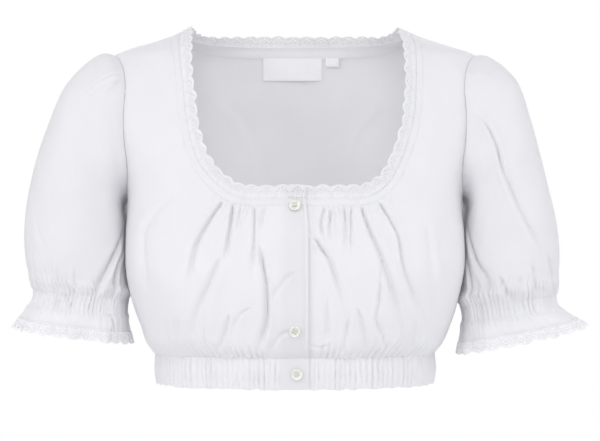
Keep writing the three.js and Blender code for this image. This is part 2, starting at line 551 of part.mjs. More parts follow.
// A sleeve's outer surface at a turn round it and a share along it
function sleevePoint(table, folds, turn, share) {
  const section = (name, at) => column(table, "share", name, at);
  const oval = (at) => {
    const [across, deep] = [Math.cos(FULL_TURN * turn), Math.sin(FULL_TURN * turn)];
    const x = mix(section("inner_x", at), section("outer_x", at), (1 + across) / 2);
    const z = mix(section("inner_z", at), section("outer_z", at), (1 + across) / 2);
    return new THREE.Vector3(x, -deep * section(deep > 0 ? "front" : "back", at), z);
  };
  const seam = armholePoint(turn).setX(armholePoint(turn).x + 2 * SEAM_GAP);
  const p = oval(share).addScaledVector(seam.sub(oval(0)), smooth(1 - share / SLEEVE_HEAD));
  if (share === 0) return p;

  const halfway = (name) => (section("inner_" + name, share) + section("outer_" + name, share)) / 2;
  const outward = oval(share).sub(new THREE.Vector3(halfway("x"), 0, halfway("z"))).normalize();
  let height = 0;
  for (const f of folds) {
    const along = (share - f.top_share) / (f.foot_share - f.top_share);
    const fade = smooth(along / SLEEVE_FOLD_FADE + 0.5) * smooth((1 - along) / SLEEVE_FOLD_FADE + 0.5);
    height += f.depth * fade * foldSection((turn - mix(f.top_turn, f.foot_turn, clamp(along))) / f.width);
  }
  const drawnIn = smooth((share - SLEEVE_GATHERS_START) / (ELASTIC.top - SLEEVE_GATHERS_START));
  const below = smooth((share - ELASTIC.foot) / RUFFLE_GATHERS.fade);
  const gathered = drawnIn * mix(1, RUFFLE_GATHERS.height, below);
  const onTop = smooth((CAP_GATHERS.turn - Math.min(turn, 1 - turn)) / CAP_GATHERS.turn_fade);
  const cap = smooth(share / CAP_GATHERS.start) * smooth((CAP_GATHERS.end - share) / CAP_GATHERS.fade) * onTop;
  const zigzag = Math.cos(FULL_TURN * SLEEVE_GATHERS * turn);
  height += zigzag * (SLEEVE_GATHER_HEIGHT * gathered + CAP_GATHER_HEIGHT * cap);
  const flare = smooth((share - ELASTIC.foot) / (1 - ELASTIC.foot));
  height += RUFFLE_WAVE_HEIGHT * flare * Math.cos(FULL_TURN * RUFFLE_WAVES * turn + Math.sin(FULL_TURN * turn));
  p.addScaledVector(outward, height);
  p.x = Math.max(p.x, halfWidthAt(p.y, p.z) + SLEEVE_CLEARANCE);
  return p;
}

function sleeveCloth(table, folds) {
  const place = (i, j) => sleevePoint(table, folds, i / SLEEVE_COLUMNS, SLEEVE_ROWS[j]);
  return gridMesh(SLEEVE_COLUMNS, SLEEVE_ROWS.length - 1, place, { closed: true });
}

// The lace on a ruffle: it begins just below the cloth's hem, and its free edge has scallops
function sleeveLace(table, folds) {
  const length = CUFF_LACE_WIDTH + SCALLOP_DEPTH;
  const depth = column(table, "share", "front", 1) + column(table, "share", "back", 1);
  const columns = Math.round((HALF_TURN * depth) / SCALLOP_PITCH) * COLUMNS_PER_SCALLOP;
  const place = (i, j) => {
    const turn = i / columns;
    const hem = sleevePoint(table, folds, turn, RUFFLE_HEM);
    const edge = sleevePoint(table, folds, turn, 1);
    const reach = j ? length - (i % COLUMNS_PER_SCALLOP ? 0 : SCALLOP_DEPTH) : SEAM_GAP;
    return hem.addScaledVector(edge.sub(hem).normalize(), reach);
  };
  return gridMesh(columns, 1, place, { closed: true });
}

// A stretch of the elastic waistband between two body angles, zigzag in its gathers
function waistband(from, to, lower = false) {
  const step = HALF_TURN / WAIST_GATHERS;
  const angles = [from];
  for (let k = Math.ceil(from / step + BAND_END); k * step < to - BAND_END * step; k++) angles.push(k * step);
  angles.push(to);
  const topZ = WAIST_Z - SEAM_GAP / 2;
  const plain = gridMesh(angles.length - 1, 1, (i, j) => torso({ angle: angles[i], z: j ? topZ : HEM_Z }));
  return moved(plain, (p) => {
    const angle = Math.atan2(p.x, -p.y);
    const beside = smooth((Math.abs(p.x) - FRONT_OVERLAP - PLACKET_FADE.start) / PLACKET_FADE.length);
    const gather = WAIST_GATHER_HEIGHT * Math.cos(WAIST_GATHERS * angle) * (p.y > 0 ? 1 : beside);
    return gather + (lower ? underlap(p.x) : 0);
  });
}

// A point on the back panel at a distance across and a distance down from its upper edge
function downTheBack(back, x, down) {
  const across = (row) => {
    const k = clamp(row.findIndex((p) => p.x >= x), 1, row.length - 1);
    return row[k - 1].clone().lerp(row[k], (x - row[k - 1].x) / (row[k].x - row[k - 1].x));
  };
  const share = down / across(back.edge).distanceTo(across(back.below));
  return across(back.edge.map((p, k) => p.clone().lerp(back.below[k], share)));
}

// A strip inside the back, from one distance across to another and from one depth below the edge to another
function insideBack(back, from, to, upper, lower, columns, inset) {
  const place = (i, j) => downTheBack(back, mix(to, from, i / columns), j ? upper : lower);
  return moved(gridMesh(columns, 1, place), () => -(CLOTH + inset));
}

// A flat button with a raised rim, seated on the upper front
function button({ x, z }) {
  const radius = BUTTON_DIAMETER / 2;
  const section = BUTTON_SECTION.map(({ out, up }) => new THREE.Vector2(out * radius, up * BUTTON_THICKNESS));
  const geometry = new THREE.LatheGeometry(section, BUTTON_SIDES);
  const angle = angleAcross(x, z, "front");
  const [turn, drop] = [0.02, 3];
  const around = torso({ angle: angle + turn, z }).sub(torso({ angle: angle - turn, z }));
  const up = torso({ angle, z: z + drop }).sub(torso({ angle, z: z - drop }));
  const outward = around.cross(up).normalize();
  const seat = torso({ angle, z }).addScaledVector(outward, SEAM_GAP);
  return { geometry, seat, outward };
}

const blouse = new THREE.Group();
function add(name, geometry, material) {
  const mesh = new THREE.Mesh(geometry, new THREE.MeshStandardMaterial(material));
  mesh.name = name;
  blouse.add(mesh);
  return mesh;
}

const frontRight = frontPanel(-1);
const frontLeft = frontPanel(1);
const back = backPanel();
add("front_right", wall(frontRight), COTTON);
add("front_left", wall(frontLeft), COTTON);
add("back", wall(back), COTTON);

add("sleeve_right", wall(onSide(sleeveCloth(RIGHT_SLEEVE, RIGHT_SLEEVE_FOLDS), -1)), COTTON);
add("sleeve_left", wall(sleeveCloth(LEFT_SLEEVE, LEFT_SLEEVE_FOLDS)), COTTON);
add("ruffle_lace_right", wall(onSide(sleeveLace(RIGHT_SLEEVE, RIGHT_SLEEVE_FOLDS), -1)), LACE);
add("ruffle_lace_left", wall(sleeveLace(LEFT_SLEEVE, LEFT_SLEEVE_FOLDS)), LACE);

const bandSeam = seamAngle(WAIST_Z);
const bandEnd = angleAcross(FRONT_OVERLAP, WAIST_Z, "front");
add("waistband_right", wall(waistband(-bandSeam, bandEnd)), COTTON);
add("waistband_left", wall(waistband(-bandEnd, bandSeam, true)), COTTON);
add("waistband_back", wall(waistband(HALF_TURN - bandSeam, HALF_TURN + bandSeam)), COTTON);

add("neck_lace", wall(neckLace(frontRight, back, frontLeft)), LACE);

const facingInset = 2 * SEAM_GAP;
const facingReach = back.edge[back.edge.length - 1].x - FACING_END;
const facingColumns = 2 * BACK_CORNER_COLUMN;
const facing = insideBack(back, -facingReach, facingReach, 0, FACING_WIDTH, facingColumns, facingInset);
add("neck_facing", wall(facing, FACING_CLOTH), COTTON);
for (const { name, x, width, height } of LABELS) {
  const top = FACING_WIDTH + SEAM_GAP;
  const strip = insideBack(back, x - width / 2, x + width / 2, top, top + height, LABEL_COLUMNS, facingInset);
  add(name, wall(strip, FACING_CLOTH), SATIN);
}

for (const place of BUTTONS) {
  const { geometry, seat, outward } = button(place);
  const mesh = add(place.name, geometry, SHELL);
  mesh.position.copy(seat);
  mesh.quaternion.setFromUnitVectors(new THREE.Vector3(0, 1, 0), outward);
}

export default blouse;
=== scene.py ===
"""The looks of a white dirndl blouse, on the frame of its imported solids.

Lengths are millimetres in the tables and formulas and become metres when a mesh is made. The wearer's left
is +X and the front faces -Y. Both fronts, the sleeves and the back are worked out on a plain form close to
that of the solids, then get their folds, gathers, seams and stitches.
"""

import math

import bpy
import numpy as np
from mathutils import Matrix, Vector
from mathutils.geometry import delaunay_2d_cdt


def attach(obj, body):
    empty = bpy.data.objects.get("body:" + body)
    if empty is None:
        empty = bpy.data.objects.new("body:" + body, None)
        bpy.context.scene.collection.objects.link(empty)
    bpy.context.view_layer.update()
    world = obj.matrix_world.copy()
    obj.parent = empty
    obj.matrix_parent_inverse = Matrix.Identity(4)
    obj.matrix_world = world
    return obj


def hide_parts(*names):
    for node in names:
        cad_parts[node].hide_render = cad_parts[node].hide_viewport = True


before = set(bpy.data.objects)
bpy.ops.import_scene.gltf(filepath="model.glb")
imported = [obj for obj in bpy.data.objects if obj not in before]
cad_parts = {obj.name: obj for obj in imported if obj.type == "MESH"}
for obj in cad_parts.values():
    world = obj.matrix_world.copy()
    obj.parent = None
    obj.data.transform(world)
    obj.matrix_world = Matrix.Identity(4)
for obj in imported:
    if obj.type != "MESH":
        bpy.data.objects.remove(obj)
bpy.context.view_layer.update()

eye = bpy.data.cameras.new("eye")
eye.lens, eye.sensor_width = 132, 36
camera = bpy.data.objects.new("eye", eye)
camera.location = (0.005, -2.2, -0.1905)
camera.rotation_euler = (math.pi / 2, 0, 0)
bpy.context.scene.collection.objects.link(camera)
bpy.context.scene.camera = camera

MM = 0.001
WAIST_Z, HEM_Z, UNDERARM_Z, SHOULDER_Z = -322, -352, -168, -26
OVERLAP = 13  # how far each front passes the middle
UNDERLAP_STEP = 1.7  # how far the lower front lies behind the upper one
NECK_LACE, CUFF_LACE = 11.5, 10  # widths of the lace, to the valleys of its scallops
ELASTIC_TOP, ELASTIC_FOOT, RUFFLE_HEM = 0.85, 0.9, 0.96  # shares along a sleeve
NECK_SHARE = 17 / 28  # share of a front's width that ends at the neckline; the rest goes up into the strap
FRONT_ROUND, BACK_ROUND, BAND_ROUND = 130, 125, 122  # millimetres of cloth for one radian round the body
FOLD_START, FOLD_END, FOLD_DEPTH = 0.56, 0.66, 0.86  # scale of the widths and depths in the fold tables
FOLD_STEPS = 48  # places along a fold's path
LACE_PITCH = 15.0  # length of one scallop of lace
CLOTH, BAND_CLOTH, TAPE, LABEL = 0.6, 1.1, 0.5, 0.35  # walls of cloth in this scene
FAR = 99  # stands for a distance beyond the reach of any seam

# Level rings of the body: z, half width, reach to the front and back, and how square each face is
RINGS = np.array([
    (2, 98, 6, 52, 2.2, 2.5), (-3.5, 115, 17, 65, 2.2, 2.5), (-8, 128, 27, 73.5, 2.2, 2.5),
    (-13, 143.5, 36, 79, 2.2, 2.5), (-20, 166, 45.5, 82.5, 2.2, 2.45), (-26, 180, 51, 85.5, 2.2, 2.4),
    (-34, 185, 57.5, 89, 2.2, 2.35), (-45, 187.5, 65.5, 93.5, 2.2, 2.3), (-60, 188, 75, 98, 2.25, 2.3),
    (-85, 187, 89, 104, 2.35, 2.3), (-110, 180, 100, 108, 2.55, 2.3), (-140, 170, 108, 110, 2.8, 2.3),
    (-170, 166, 113, 110, 3, 2.3), (-205, 168, 124, 110, 3.1, 2.3), (-240, 167.5, 130, 109, 3.1, 2.3),
    (-275, 160, 126, 107, 2.8, 2.25), (-300, 151, 118, 104, 2.5, 2.2), (-313, 144.5, 112, 101.5, 2.25, 2.2),
    (-322, 139.5, 106.5, 98.5, 2.2, 2.2), (-337, 139, 106, 98.2, 2.2, 2.2),
    (-352, 138.5, 105.5, 98, 2.2, 2.2),
])

# Half necklines from the middle to the shoulder seam: distance across, and z
RIGHT_NECK = np.array([
    (-13, -170), (30, -170.5), (55, -168.5), (74, -157), (90, -138),
    (99, -117), (105, -90), (110, -51), (114, -20), (115, -3.5),
])
LEFT_NECK = np.array([
    (-13, -170), (42, -170.5), (70, -168.5), (88, -157), (99.5, -138),
    (108, -117), (115, -90), (118.5, -51), (118.5, -20), (115, -3.5),
])
BACK_NECK = np.array([(0, -12), (55, -11.7), (88, -10.4), (103, -8), (111, -5.6), (115, -3.5)])
STRAP_ROW = 3  # the row of each neckline where the strap begins

# How far the neck lace stands out from the body's surface: share of its half length, degrees
LACE_LIFT = np.array([
    (0, 0), (0.1, 0), (0.17, 9), (0.24, 20), (0.36, 22), (0.5, 20), (0.6, 12), (0.7, 6), (0.8, 3), (1, 2),
])

# Sections of the sleeves: share along it, outer x and z, inner x and z, reach to the front and back
RIGHT_SLEEVE = np.array([
    (0, 180, -26, 165, -168, 41, 57), (0.05, 194, -26, 168, -171, 45, 61),
    (0.11, 210, -36, 170, -176, 52.5, 66), (0.19, 229, -57, 171, -186, 59.5, 70),
    (0.3, 244, -90, 171, -199, 63, 73), (0.42, 256, -124, 171, -213, 63, 74),
    (0.54, 265, -163, 170, -227, 62, 73), (0.65, 269, -196, 169.5, -240, 60, 70),
    (0.75, 268, -228, 168.5, -252, 55, 63), (0.83, 261.5, -253, 168, -262, 48, 53),
    (0.88, 262, -267, 168, -277, 48, 53), (0.91, 267, -276, 167.5, -287, 51, 56),
    (0.96, 273, -287, 167, -300, 56, 60), (1, 277, -296, 166, -311, 59, 63),
])
LEFT_SLEEVE = np.array([
    (0, 180, -26, 165, -168, 41, 57), (0.05, 194, -29, 168, -171, 45, 61),
    (0.11, 208, -37, 170, -176, 51.5, 66), (0.19, 222.5, -53, 171, -187, 57.5, 70),
    (0.3, 233, -84, 170.5, -201, 61, 73), (0.42, 242.5, -118, 170, -215, 61, 74),
    (0.54, 252, -155, 169.5, -230, 60, 73), (0.65, 260, -190, 169, -244, 58, 70),
    (0.75, 263.5, -227, 168, -257, 54, 64), (0.83, 260, -258, 166, -269, 48, 53),
    (0.88, 262, -272, 167, -285, 48, 53), (0.91, 268, -279, 166.5, -295, 52, 57),
    (0.96, 280, -288, 166, -310, 57, 61), (1, 286, -293, 165, -321, 60, 64),
])

HALF, FULL = math.pi, 2 * math.pi


def mix(a, b, t):
    return a + (b - a) * t


def smooth(t):
    t = np.clip(t, 0, 1)
    return t * t * (3 - 2 * t)


def through(table, at):
    """The other columns of a table at places along its first one, on a smooth curve through its rows."""
    table = table if table[-1, 0] > table[0, 0] else table[::-1]
    key, rows = table[:, 0], table[:, 1:]
    slope = np.empty_like(rows)
    slope[1:-1] = (rows[2:] - rows[:-2]) / (key[2:] - key[:-2])[:, None]
    slope[0], slope[-1] = (rows[1] - rows[0]) / (key[1] - key[0]), (rows[-1] - rows[-2]) / (key[-1] - key[-2])
    at = np.asarray(at, float)
    i = np.clip(np.searchsorted(key, at, side="right") - 1, 0, len(key) - 2)
    span = (key[i + 1] - key[i])[..., None]
    t = np.clip((at - key[i])[..., None] / span, 0, 1)
    t2, t3 = t * t, t * t * t
    return ((2 * t3 - 3 * t2 + 1) * rows[i] + (t3 - 2 * t2 + t) * span * slope[i]
            + (3 * t2 - 2 * t3) * rows[i + 1] + (t3 - t2) * span * slope[i + 1])


def unit(v):
    return v / np.maximum(np.linalg.norm(v, axis=-1, keepdims=True), 1e-12)


def run_along(points):
    """The distance from the first of a row of points to each of them."""
    return np.concatenate([[0], np.cumsum(np.linalg.norm(np.diff(points, axis=0), axis=1))])


def read_at(places, run, rows):
    """Rows of three numbers, read at places along their run."""
    return np.stack([np.interp(places, run, rows[:, k]) for k in range(3)], -1)


def face_of(ring, front):
    """How far the body reaches and how square it is, in front or at the back."""
    return np.where(front, ring[..., 1], ring[..., 2]), np.where(front, ring[..., 3], ring[..., 4])


def torso(angle, z):
    """The body's surface: angle 0 is the middle of the front, a quarter turn the wearer's left side."""
    ring = through(RINGS, z)
    reach, power = face_of(ring, np.cos(angle) > 0)
    across, deep = np.abs(np.sin(angle)) / ring[..., 0], np.abs(np.cos(angle)) / reach
    radius = (across ** power + deep ** power) ** (-1 / power)
    return np.stack([radius * np.sin(angle), -radius * np.cos(angle), z + 0 * radius], -1)


def torso_normal(angle, z):
    across = torso(angle + 0.01, z) - torso(angle - 0.01, z)
    up = torso(angle, z + 1) - torso(angle, z - 1)
    return unit(np.cross(across, up))


def angle_across(x, z, face):
    """The body angle of a point on one face, by its distance across from the middle."""
    ring = through(RINGS, z)
    reach, power = face_of(ring, face == "front")
    share = np.clip(np.abs(x) / ring[..., 0], 0, 1)
    angle = np.arctan2(np.abs(x), reach * (1 - share ** power) ** (1 / power))
    return np.where(x < 0, -1, 1) * (angle if face == "front" else HALF - angle)


def half_width(y, z):
    """The body's half width at a depth."""
    ring = through(RINGS, z)
    reach, power = face_of(ring, np.asarray(y) < 0)
    share = np.clip(np.abs(y) / reach, 0, 1)
    return ring[..., 0] * (1 - share ** power) ** (1 / power)


def neck_curve(table, face, start, end, count):
    """Angle and z of evenly spaced places along a neckline between two rows of its table."""
    rows = np.column_stack([np.arange(len(table)), table])
    fine = through(rows, np.linspace(start, end, 400))
    angle = angle_across(fine[:, 0], fine[:, 1], face)
    limit = HALF / 2
    angle = np.minimum(angle, limit) if face == "front" else np.maximum(angle, limit)
    points = torso(angle, fine[:, 1])
    length = run_along(points)
    at = np.linspace(0, length[-1], count)
    return np.interp(at, length, angle), np.interp(at, length, fine[:, 1])


def armhole(swing, face):
    """Angle and z on the armhole's outline: swing 0 is the shoulder point, a half turn the underarm."""
    z = mix(SHOULDER_Z, UNDERARM_Z, (1 - np.cos(swing)) / 2)
    reach = (50 if face == "front" else 57) * np.abs(np.sin(swing)) ** 0.7 * (1 - 0.2 * np.cos(swing))
    y = np.maximum(reach, 1e-3)
    angle = np.arctan2(half_width(-y if face == "front" else y, z), y)
    return (angle if face == "front" else HALF - angle), z


def armhole_point(turn):
    """A point of the armhole's outline: turn 0 on top, 0.25 in front, 0.5 at the underarm."""
    swing = FULL * np.minimum(turn, 1 - turn)
    front, back = armhole(swing, "front"), armhole(swing, "back")
    ahead = (turn <= 0.5)[..., None]
    return np.where(ahead, torso(*front), torso(*back))


def sleeve_form(table, turn, share):
    """A sleeve's plain surface for the wearer's left side, and its outward direction."""
    turn, share = np.broadcast_arrays(np.asarray(turn, float), np.asarray(share, float))

    def oval(row):
        across, deep = np.cos(FULL * turn), np.sin(FULL * turn)
        inner = smooth(-across)
        tucked = inner * (2 + 7 * smooth(-deep / 0.5))
        tucked = tucked * smooth((share - 0.12) / 0.12) * smooth((0.9 - share) / 0.1)
        deep = np.sign(deep) * np.abs(deep) ** mix(0.76, 0.36, inner * (deep > 0))
        x = mix(row[..., 2], row[..., 0], (1 + across) / 2) - tucked
        z = mix(row[..., 3], row[..., 1], (1 + across) / 2)
        return np.stack([x, -deep * np.where(deep > 0, row[..., 4], row[..., 5]), z], -1)

    row = through(table, share)
    plain = oval(row)
    seam = armhole_point(turn) + np.array([0.5, 0, 0])
    point = plain + (seam - oval(through(table, 0 * share))) * smooth(1 - share / 0.25)[..., None]
    centre = np.stack([(row[..., 0] + row[..., 2]) / 2, 0 * turn, (row[..., 1] + row[..., 3]) / 2], -1)
    return point, unit(plain - centre)


def wobble(at, pitch, seed, around=None):
    """Smooth random height between -1 and 1 along a line; it closes on itself after the length around."""
    cells = 400 if around is None else max(3, round(around / pitch))
    step = pitch if around is None else around / cells
    heights = np.random.RandomState(seed).uniform(-1, 1, cells)
    place = np.asarray(at, float) / step
    i = np.floor(place).astype(int)
    return mix(heights[i % cells], heights[(i + 1) % cells], smooth(place - i))


def gathers(at, pitch, seed, around=None):
    """Rounded ridges between narrow valleys, uneven in spacing and height, from -1 to 1."""
    step = pitch if around is None else around / round(around / pitch)
    shifted = at + 0.33 * step * wobble(at, 2.2 * step, seed, around)
    ridge = 2 * np.abs(np.cos(HALF * shifted / step)) ** 0.7 - 1
    return ridge * (0.62 + 0.38 * wobble(at, 1.6 * step, seed + 1, around))


def drape(x, z, seed):
    """Slow waves in the cloth, from about -1 to 1."""
    rng = np.random.RandomState(seed)
    total = 0
    for _ in range(7):
        size, turn, phase = rng.uniform(34, 95), rng.uniform(-0.7, 0.7), rng.uniform(0, FULL)
        total = total + np.sin(FULL * (x * np.cos(turn) + z * np.sin(turn)) / size + phase)
    return total / 4


def distance_to(points, line):
    """How far each point is from a line of places."""
    flat = points.reshape(-1, 3)
    nearest = np.full(len(flat), np.inf)
    for start in range(0, len(line), 24):
        away = np.linalg.norm(flat[:, None] - line[None, start:start + 24], axis=2)
        nearest = np.minimum(nearest, away.min(1))
    return nearest.reshape(points.shape[:-1])


def fold_height(folds, x, z):
    """How far folds move the cloth out. A fold is a trough along a path, with a ridge on its lean side."""
    total = np.zeros(np.shape(x))
    last = FOLD_STEPS - 1
    for path, start, end, depth, lean, begin, finish in folds:
        rows = np.column_stack([np.arange(len(path)), np.array(path, float)])
        line = through(rows, np.linspace(0, len(path) - 1, FOLD_STEPS))
        heading = unit(np.gradient(line, axis=0))
        gap = np.stack([x, z], -1)[..., None, :] - line
        k = (gap ** 2).sum(-1).argmin(-1)
        off = np.take_along_axis(gap, k[..., None, None], -2)[..., 0, :]
        ahead = heading[k]
        beyond = np.where((k == 0) | (k == last), (off * ahead).sum(-1), 0)
        aside = off[..., 0] * -ahead[..., 1] + off[..., 1] * ahead[..., 0]
        along = k / last
        away = aside / mix(FOLD_START * start, FOLD_END * end, along)
        fade = np.exp(-(beyond / (1.2 * FOLD_END * end)) ** 2)
        fade = fade * smooth(0.25 + along / begin) * smooth(0.12 + (1 - along) / finish)
        soft = mix(1, 0.25, smooth(along * 1.1 - 0.15))
        trough = (1 - 0.45 * soft) * np.exp(-np.abs(away) ** 1.5) + 0.75 * soft * np.exp(-3.2 * np.abs(away))
        steep = np.where(away * lean > 1.05, 1.25, 0.62)
        ridge = 0.74 * np.exp(-((away - 1.05 * lean) / steep) ** 2)
        ridge += 0.22 * np.exp(-((away + 1.9 * lean) / 1.3) ** 2)
        total += FOLD_DEPTH * depth * fade * (ridge - trough)
    return total


# Folds as seen from the front: path as places across and up, width at its start and end, depth, lean, and
# the shares of its length over which it deepens and dies out
RIGHT_FOLDS = [
    ([(-68, -172), (-81, -190), (-93, -213), (-98, -238), (-98, -256)], 3.2, 7, 3.4, -1, 0.1, 0.4),
    ([(-58, -172), (-60, -188), (-63, -211), (-67, -234)], 2.6, 5, 3.2, -1, 0.1, 0.4),
    ([(-70, -224), (-74, -235), (-83, -257), (-92, -278), (-98, -312)], 6, 9, 2.4, -1, 0.3, 0.4),
    ([(-50, -173), (-53, -188), (-56, -204)], 2.2, 3.5, 1.7, -1, 0.1, 0.4),
    ([(-38, -174), (-38, -205), (-39, -224), (-40, -240)], 2.6, 4, 2.3, 1, 0.1, 0.4),
    ([(-28, -173), (-30, -186), (-33, -202)], 2.2, 3.5, 1.7, 1, 0.1, 0.4),
    ([(-33, -214), (-29, -235), (-26, -257), (-26, -283), (-29, -297), (-35, -316)],
     4, 5.5, 3.8, 1, 0.25, 0.2),
    ([(-62, -280), (-67, -300), (-74, -316)], 4, 5, 2, 1, 0.1, 0.2),
    ([(-40, -272), (-52, -281), (-60, -297)], 4, 5.5, 1.5, 1, 0.3, 0.4),
    ([(4, -240), (-6, -243), (-17, -257), (-23, -272)], 4, 6, 1.6, 1, 0.35, 0.4),
    ([(-4, -295), (-14, -300), (-23, -316)], 3.5, 5, 1.4, 1, 0.35, 0.4),
    ([(-121, -172), (-140, -192), (-145, -212), (-143, -246), (-138, -270)], 8, 11, 2.2, -1, 0.3, 0.4),
    ([(-112, -280), (-113, -300), (-111, -318)], 6, 6, 1.3, 1, 0.4, 0.4),
    ([(-124, -284), (-122, -302), (-119, -318)], 6, 6, 1.4, -1, 0.4, 0.4),
    ([(-86, -292), (-86, -306), (-84, -318)], 4, 5, 1.2, 1, 0.4, 0.4),
]
LEFT_FOLDS = [
    ([(30, -173), (25, -194), (30, -214)], 2.4, 4.5, 2.2, -1, 0.1, 0.4),
    ([(36, -173), (33, -196), (34, -214)], 2.4, 4, 2.2, 1, 0.1, 0.4),
    ([(17, -204), (26, -218), (33, -228), (41, -251), (52, -280)], 3.5, 6.5, 3.4, -1, 0.2, 0.4),
    ([(47, -173), (48, -200), (48, -224)], 2.2, 3.6, 1.9, 1, 0.1, 0.4),
    ([(54, -173), (53, -201), (54, -224)], 2.2, 3.6, 1.9, -1, 0.1, 0.4),
    ([(61, -171), (70, -197), (81, -221), (89, -245), (98, -274), (104, -314)], 3, 7.5, 3.5, 1, 0.1, 0.4),
    ([(76, -168), (91, -190), (99, -207), (102, -228), (108, -249), (119, -276), (127, -296)],
     3, 7.5, 3.3, -1, 0.1, 0.4),
    ([(83, -232), (80, -266), (77, -285), (83, -300), (86, -316)], 5, 6, 2.2, -1, 0.3, 0.2),
    ([(31, -262), (31, -285), (31, -312)], 4.5, 5, 1.6, 1, 0.4, 0.4),
    ([(52, -282), (49, -300), (46, -317)], 4, 5, 1.9, 1, 0.3, 0.2),
    ([(125, -188), (130, -230), (131, -266), (130, -300)], 8, 10, 1.9, 1, 0.3, 0.4),
    ([(58, -272), (64, -287), (69, -314)], 4, 5, 1.8, 1, 0.3, 0.2),
    ([(15, -309), (24, -311), (34, -308)], 3, 3, 0.9, 1, 0.4, 0.4),
    ([(115, -284), (113, -302), (110, -318)], 5, 6, 1.4, 1, 0.4, 0.4),
]
BACK_FOLDS = [
    ([(-100, -196), (-96, -240), (-90, -284), (-84, -318)], 8, 8, 2.4, 1, 0.35, 0.2),
    ([(-56, -226), (-48, -268), (-44, -318)], 7, 7, 2.2, -1, 0.4, 0.2),
    ([(-24, -262), (-22, -290), (-24, -318)], 5, 6, 1.6, 1, 0.4, 0.2),
    ([(-6, -214), (-1, -262), (5, -318)], 7, 7, 2.1, 1, 0.4, 0.2),
    ([(42, -238), (40, -280), (43, -318)], 7, 7, 2.1, 1, 0.4, 0.2),
    ([(64, -268), (62, -292), (60, -318)], 5, 6, 1.6, -1, 0.4, 0.2),
    ([(94, -204), (88, -250), (82, -318)], 8, 8, 2.4, -1, 0.35, 0.2),
    ([(118, -250), (114, -286), (108, -318)], 6, 7, 1.7, 1, 0.4, 0.2),
    ([(-122, -246), (-116, -284), (-110, -318)], 6, 7, 1.7, 1, 0.4, 0.2),
    ([(-92, -60), (-60, -92), (-44, -136)], 9, 10, 1, 1, 0.5, 0.4),
    ([(98, -64), (66, -98), (52, -140)], 9, 10, 0.9, 1, 0.5, 0.4),
]
# Sleeve folds: places as degrees round it (0 on top, 90 in front, 180 at the underarm) and percent along it
RIGHT_SLEEVE_FOLDS = [
    ([(170, 33), (145, 58), (128, 74), (112, 85)], 7, 8, 4.6, -1, 0.3, 0.12),
    ([(172, 46), (152, 64), (139, 85)], 6, 6, 3.6, -1, 0.3, 0.12),
    ([(54, 46), (66, 52), (80, 57)], 10, 11, 1, 1, 0.5, 0.4),
    ([(44, 60), (52, 65), (62, 71)], 9, 10, 1, 1, 0.5, 0.4),
    ([(50, 1), (58, 4), (64, 8)], 2.6, 4, 1.8, 1, 0.1, 0.4),
    ([(280, 24), (300, 50), (316, 84)], 8, 8, 3.2, 1, 0.3, 0.12),
    ([(226, 34), (246, 60), (258, 85)], 8, 8, 3.4, 1, 0.3, 0.12),
    ([(204, 46), (214, 66), (222, 85)], 6, 6, 3, -1, 0.3, 0.12),
    ([(96, 72), (92, 79), (90, 85)], 4, 4, 1.4, 1, 0.5, 0.12),
    ([(74, 74), (72, 80), (70, 85)], 4, 4, 1.1, -1, 0.5, 0.12),
    ([(40, 72), (36, 79), (34, 85)], 4, 5, 1.3, 1, 0.5, 0.12),
    ([(340, 70), (344, 78), (346, 85)], 5, 5, 1.4, 1, 0.5, 0.12),
    ([(148, 96), (140, 91), (124, 90.5)], 3, 4.5, 2.6, 1, 0.2, 0.5),
]
LEFT_SLEEVE_FOLDS = [
    ([(80, 5), (90, 24), (79, 48), (66, 63), (50, 72)], 5, 9, 3, -1, 0.15, 0.3),
    ([(168, 28), (162, 34), (141, 61), (126, 73), (118, 82)], 6, 8, 4.2, -1, 0.3, 0.15),
    ([(172, 48), (156, 66), (144, 84)], 6, 6, 3, -1, 0.3, 0.12),
    ([(110, 74), (100, 80), (90, 85)], 4, 4.5, 2.2, 1, 0.4, 0.12),
    ([(72, 72), (66, 78), (58, 84)], 4, 4.5, 1.9, -1, 0.4, 0.12),
    ([(50, 72), (38, 78), (25, 85)], 4, 4.5, 1.9, 1, 0.4, 0.12),
    ([(86, 76), (82, 80), (78, 85)], 3, 3.5, 1.3, 1, 0.4, 0.12),
    ([(282, 26), (300, 52), (314, 84)], 8, 8, 3, 1, 0.3, 0.12),
    ([(228, 36), (242, 60), (254, 85)], 8, 8, 3.4, 1, 0.3, 0.12),
    ([(202, 44), (212, 64), (222, 85)], 6, 6, 2.8, -1, 0.3, 0.12),
    ([(338, 68), (344, 78), (348, 85)], 5, 5, 1.5, 1, 0.5, 0.12),
]
SLEEVE_ROUND, SLEEVE_LONG = 380, 300  # millimetres that a whole turn and a whole length stand for above


def beside_armhole(points):
    """Brings the cloth on both sides of the armhole seam forward or back, so that no deep groove is left."""
    x, y, z = np.abs(points[..., 0]), points[..., 1], points[..., 2]
    near = np.exp(-((x - 173) / 21) ** 2) * smooth((z + 162) / 34) * smooth((-22 - z) / 26)
    eased = points.copy()
    push = 6
    eased[..., 1] += near * (push * smooth((y - 22) / 26) - push * smooth((-y - 12) / 26))
    return eased


def beside(edge_distance, depth, reach=1.6):
    """The small dip of cloth into a seam."""
    return -depth * np.exp(-(edge_distance / reach) ** 2)


def front_edge(z):
    """How far the fronts pass the middle; the edge swings in a little under the lace."""
    return OVERLAP - 2.6 * smooth((z + 205) / 38)


def strap_part(face, strap, swing, beyond):
    """Angle and z over the rows of a strap, from the edge at the neck to the armhole."""
    sides = armhole(swing, face)
    return [mix(edge[None, 1:], side[None, :], beyond[:, None]) for edge, side in zip(strap, sides)]


def joined_rows(*parts):
    """Angles and z of parts of a panel that follow each other."""
    return [np.concatenate(rows, -1) for rows in zip(*parts)]


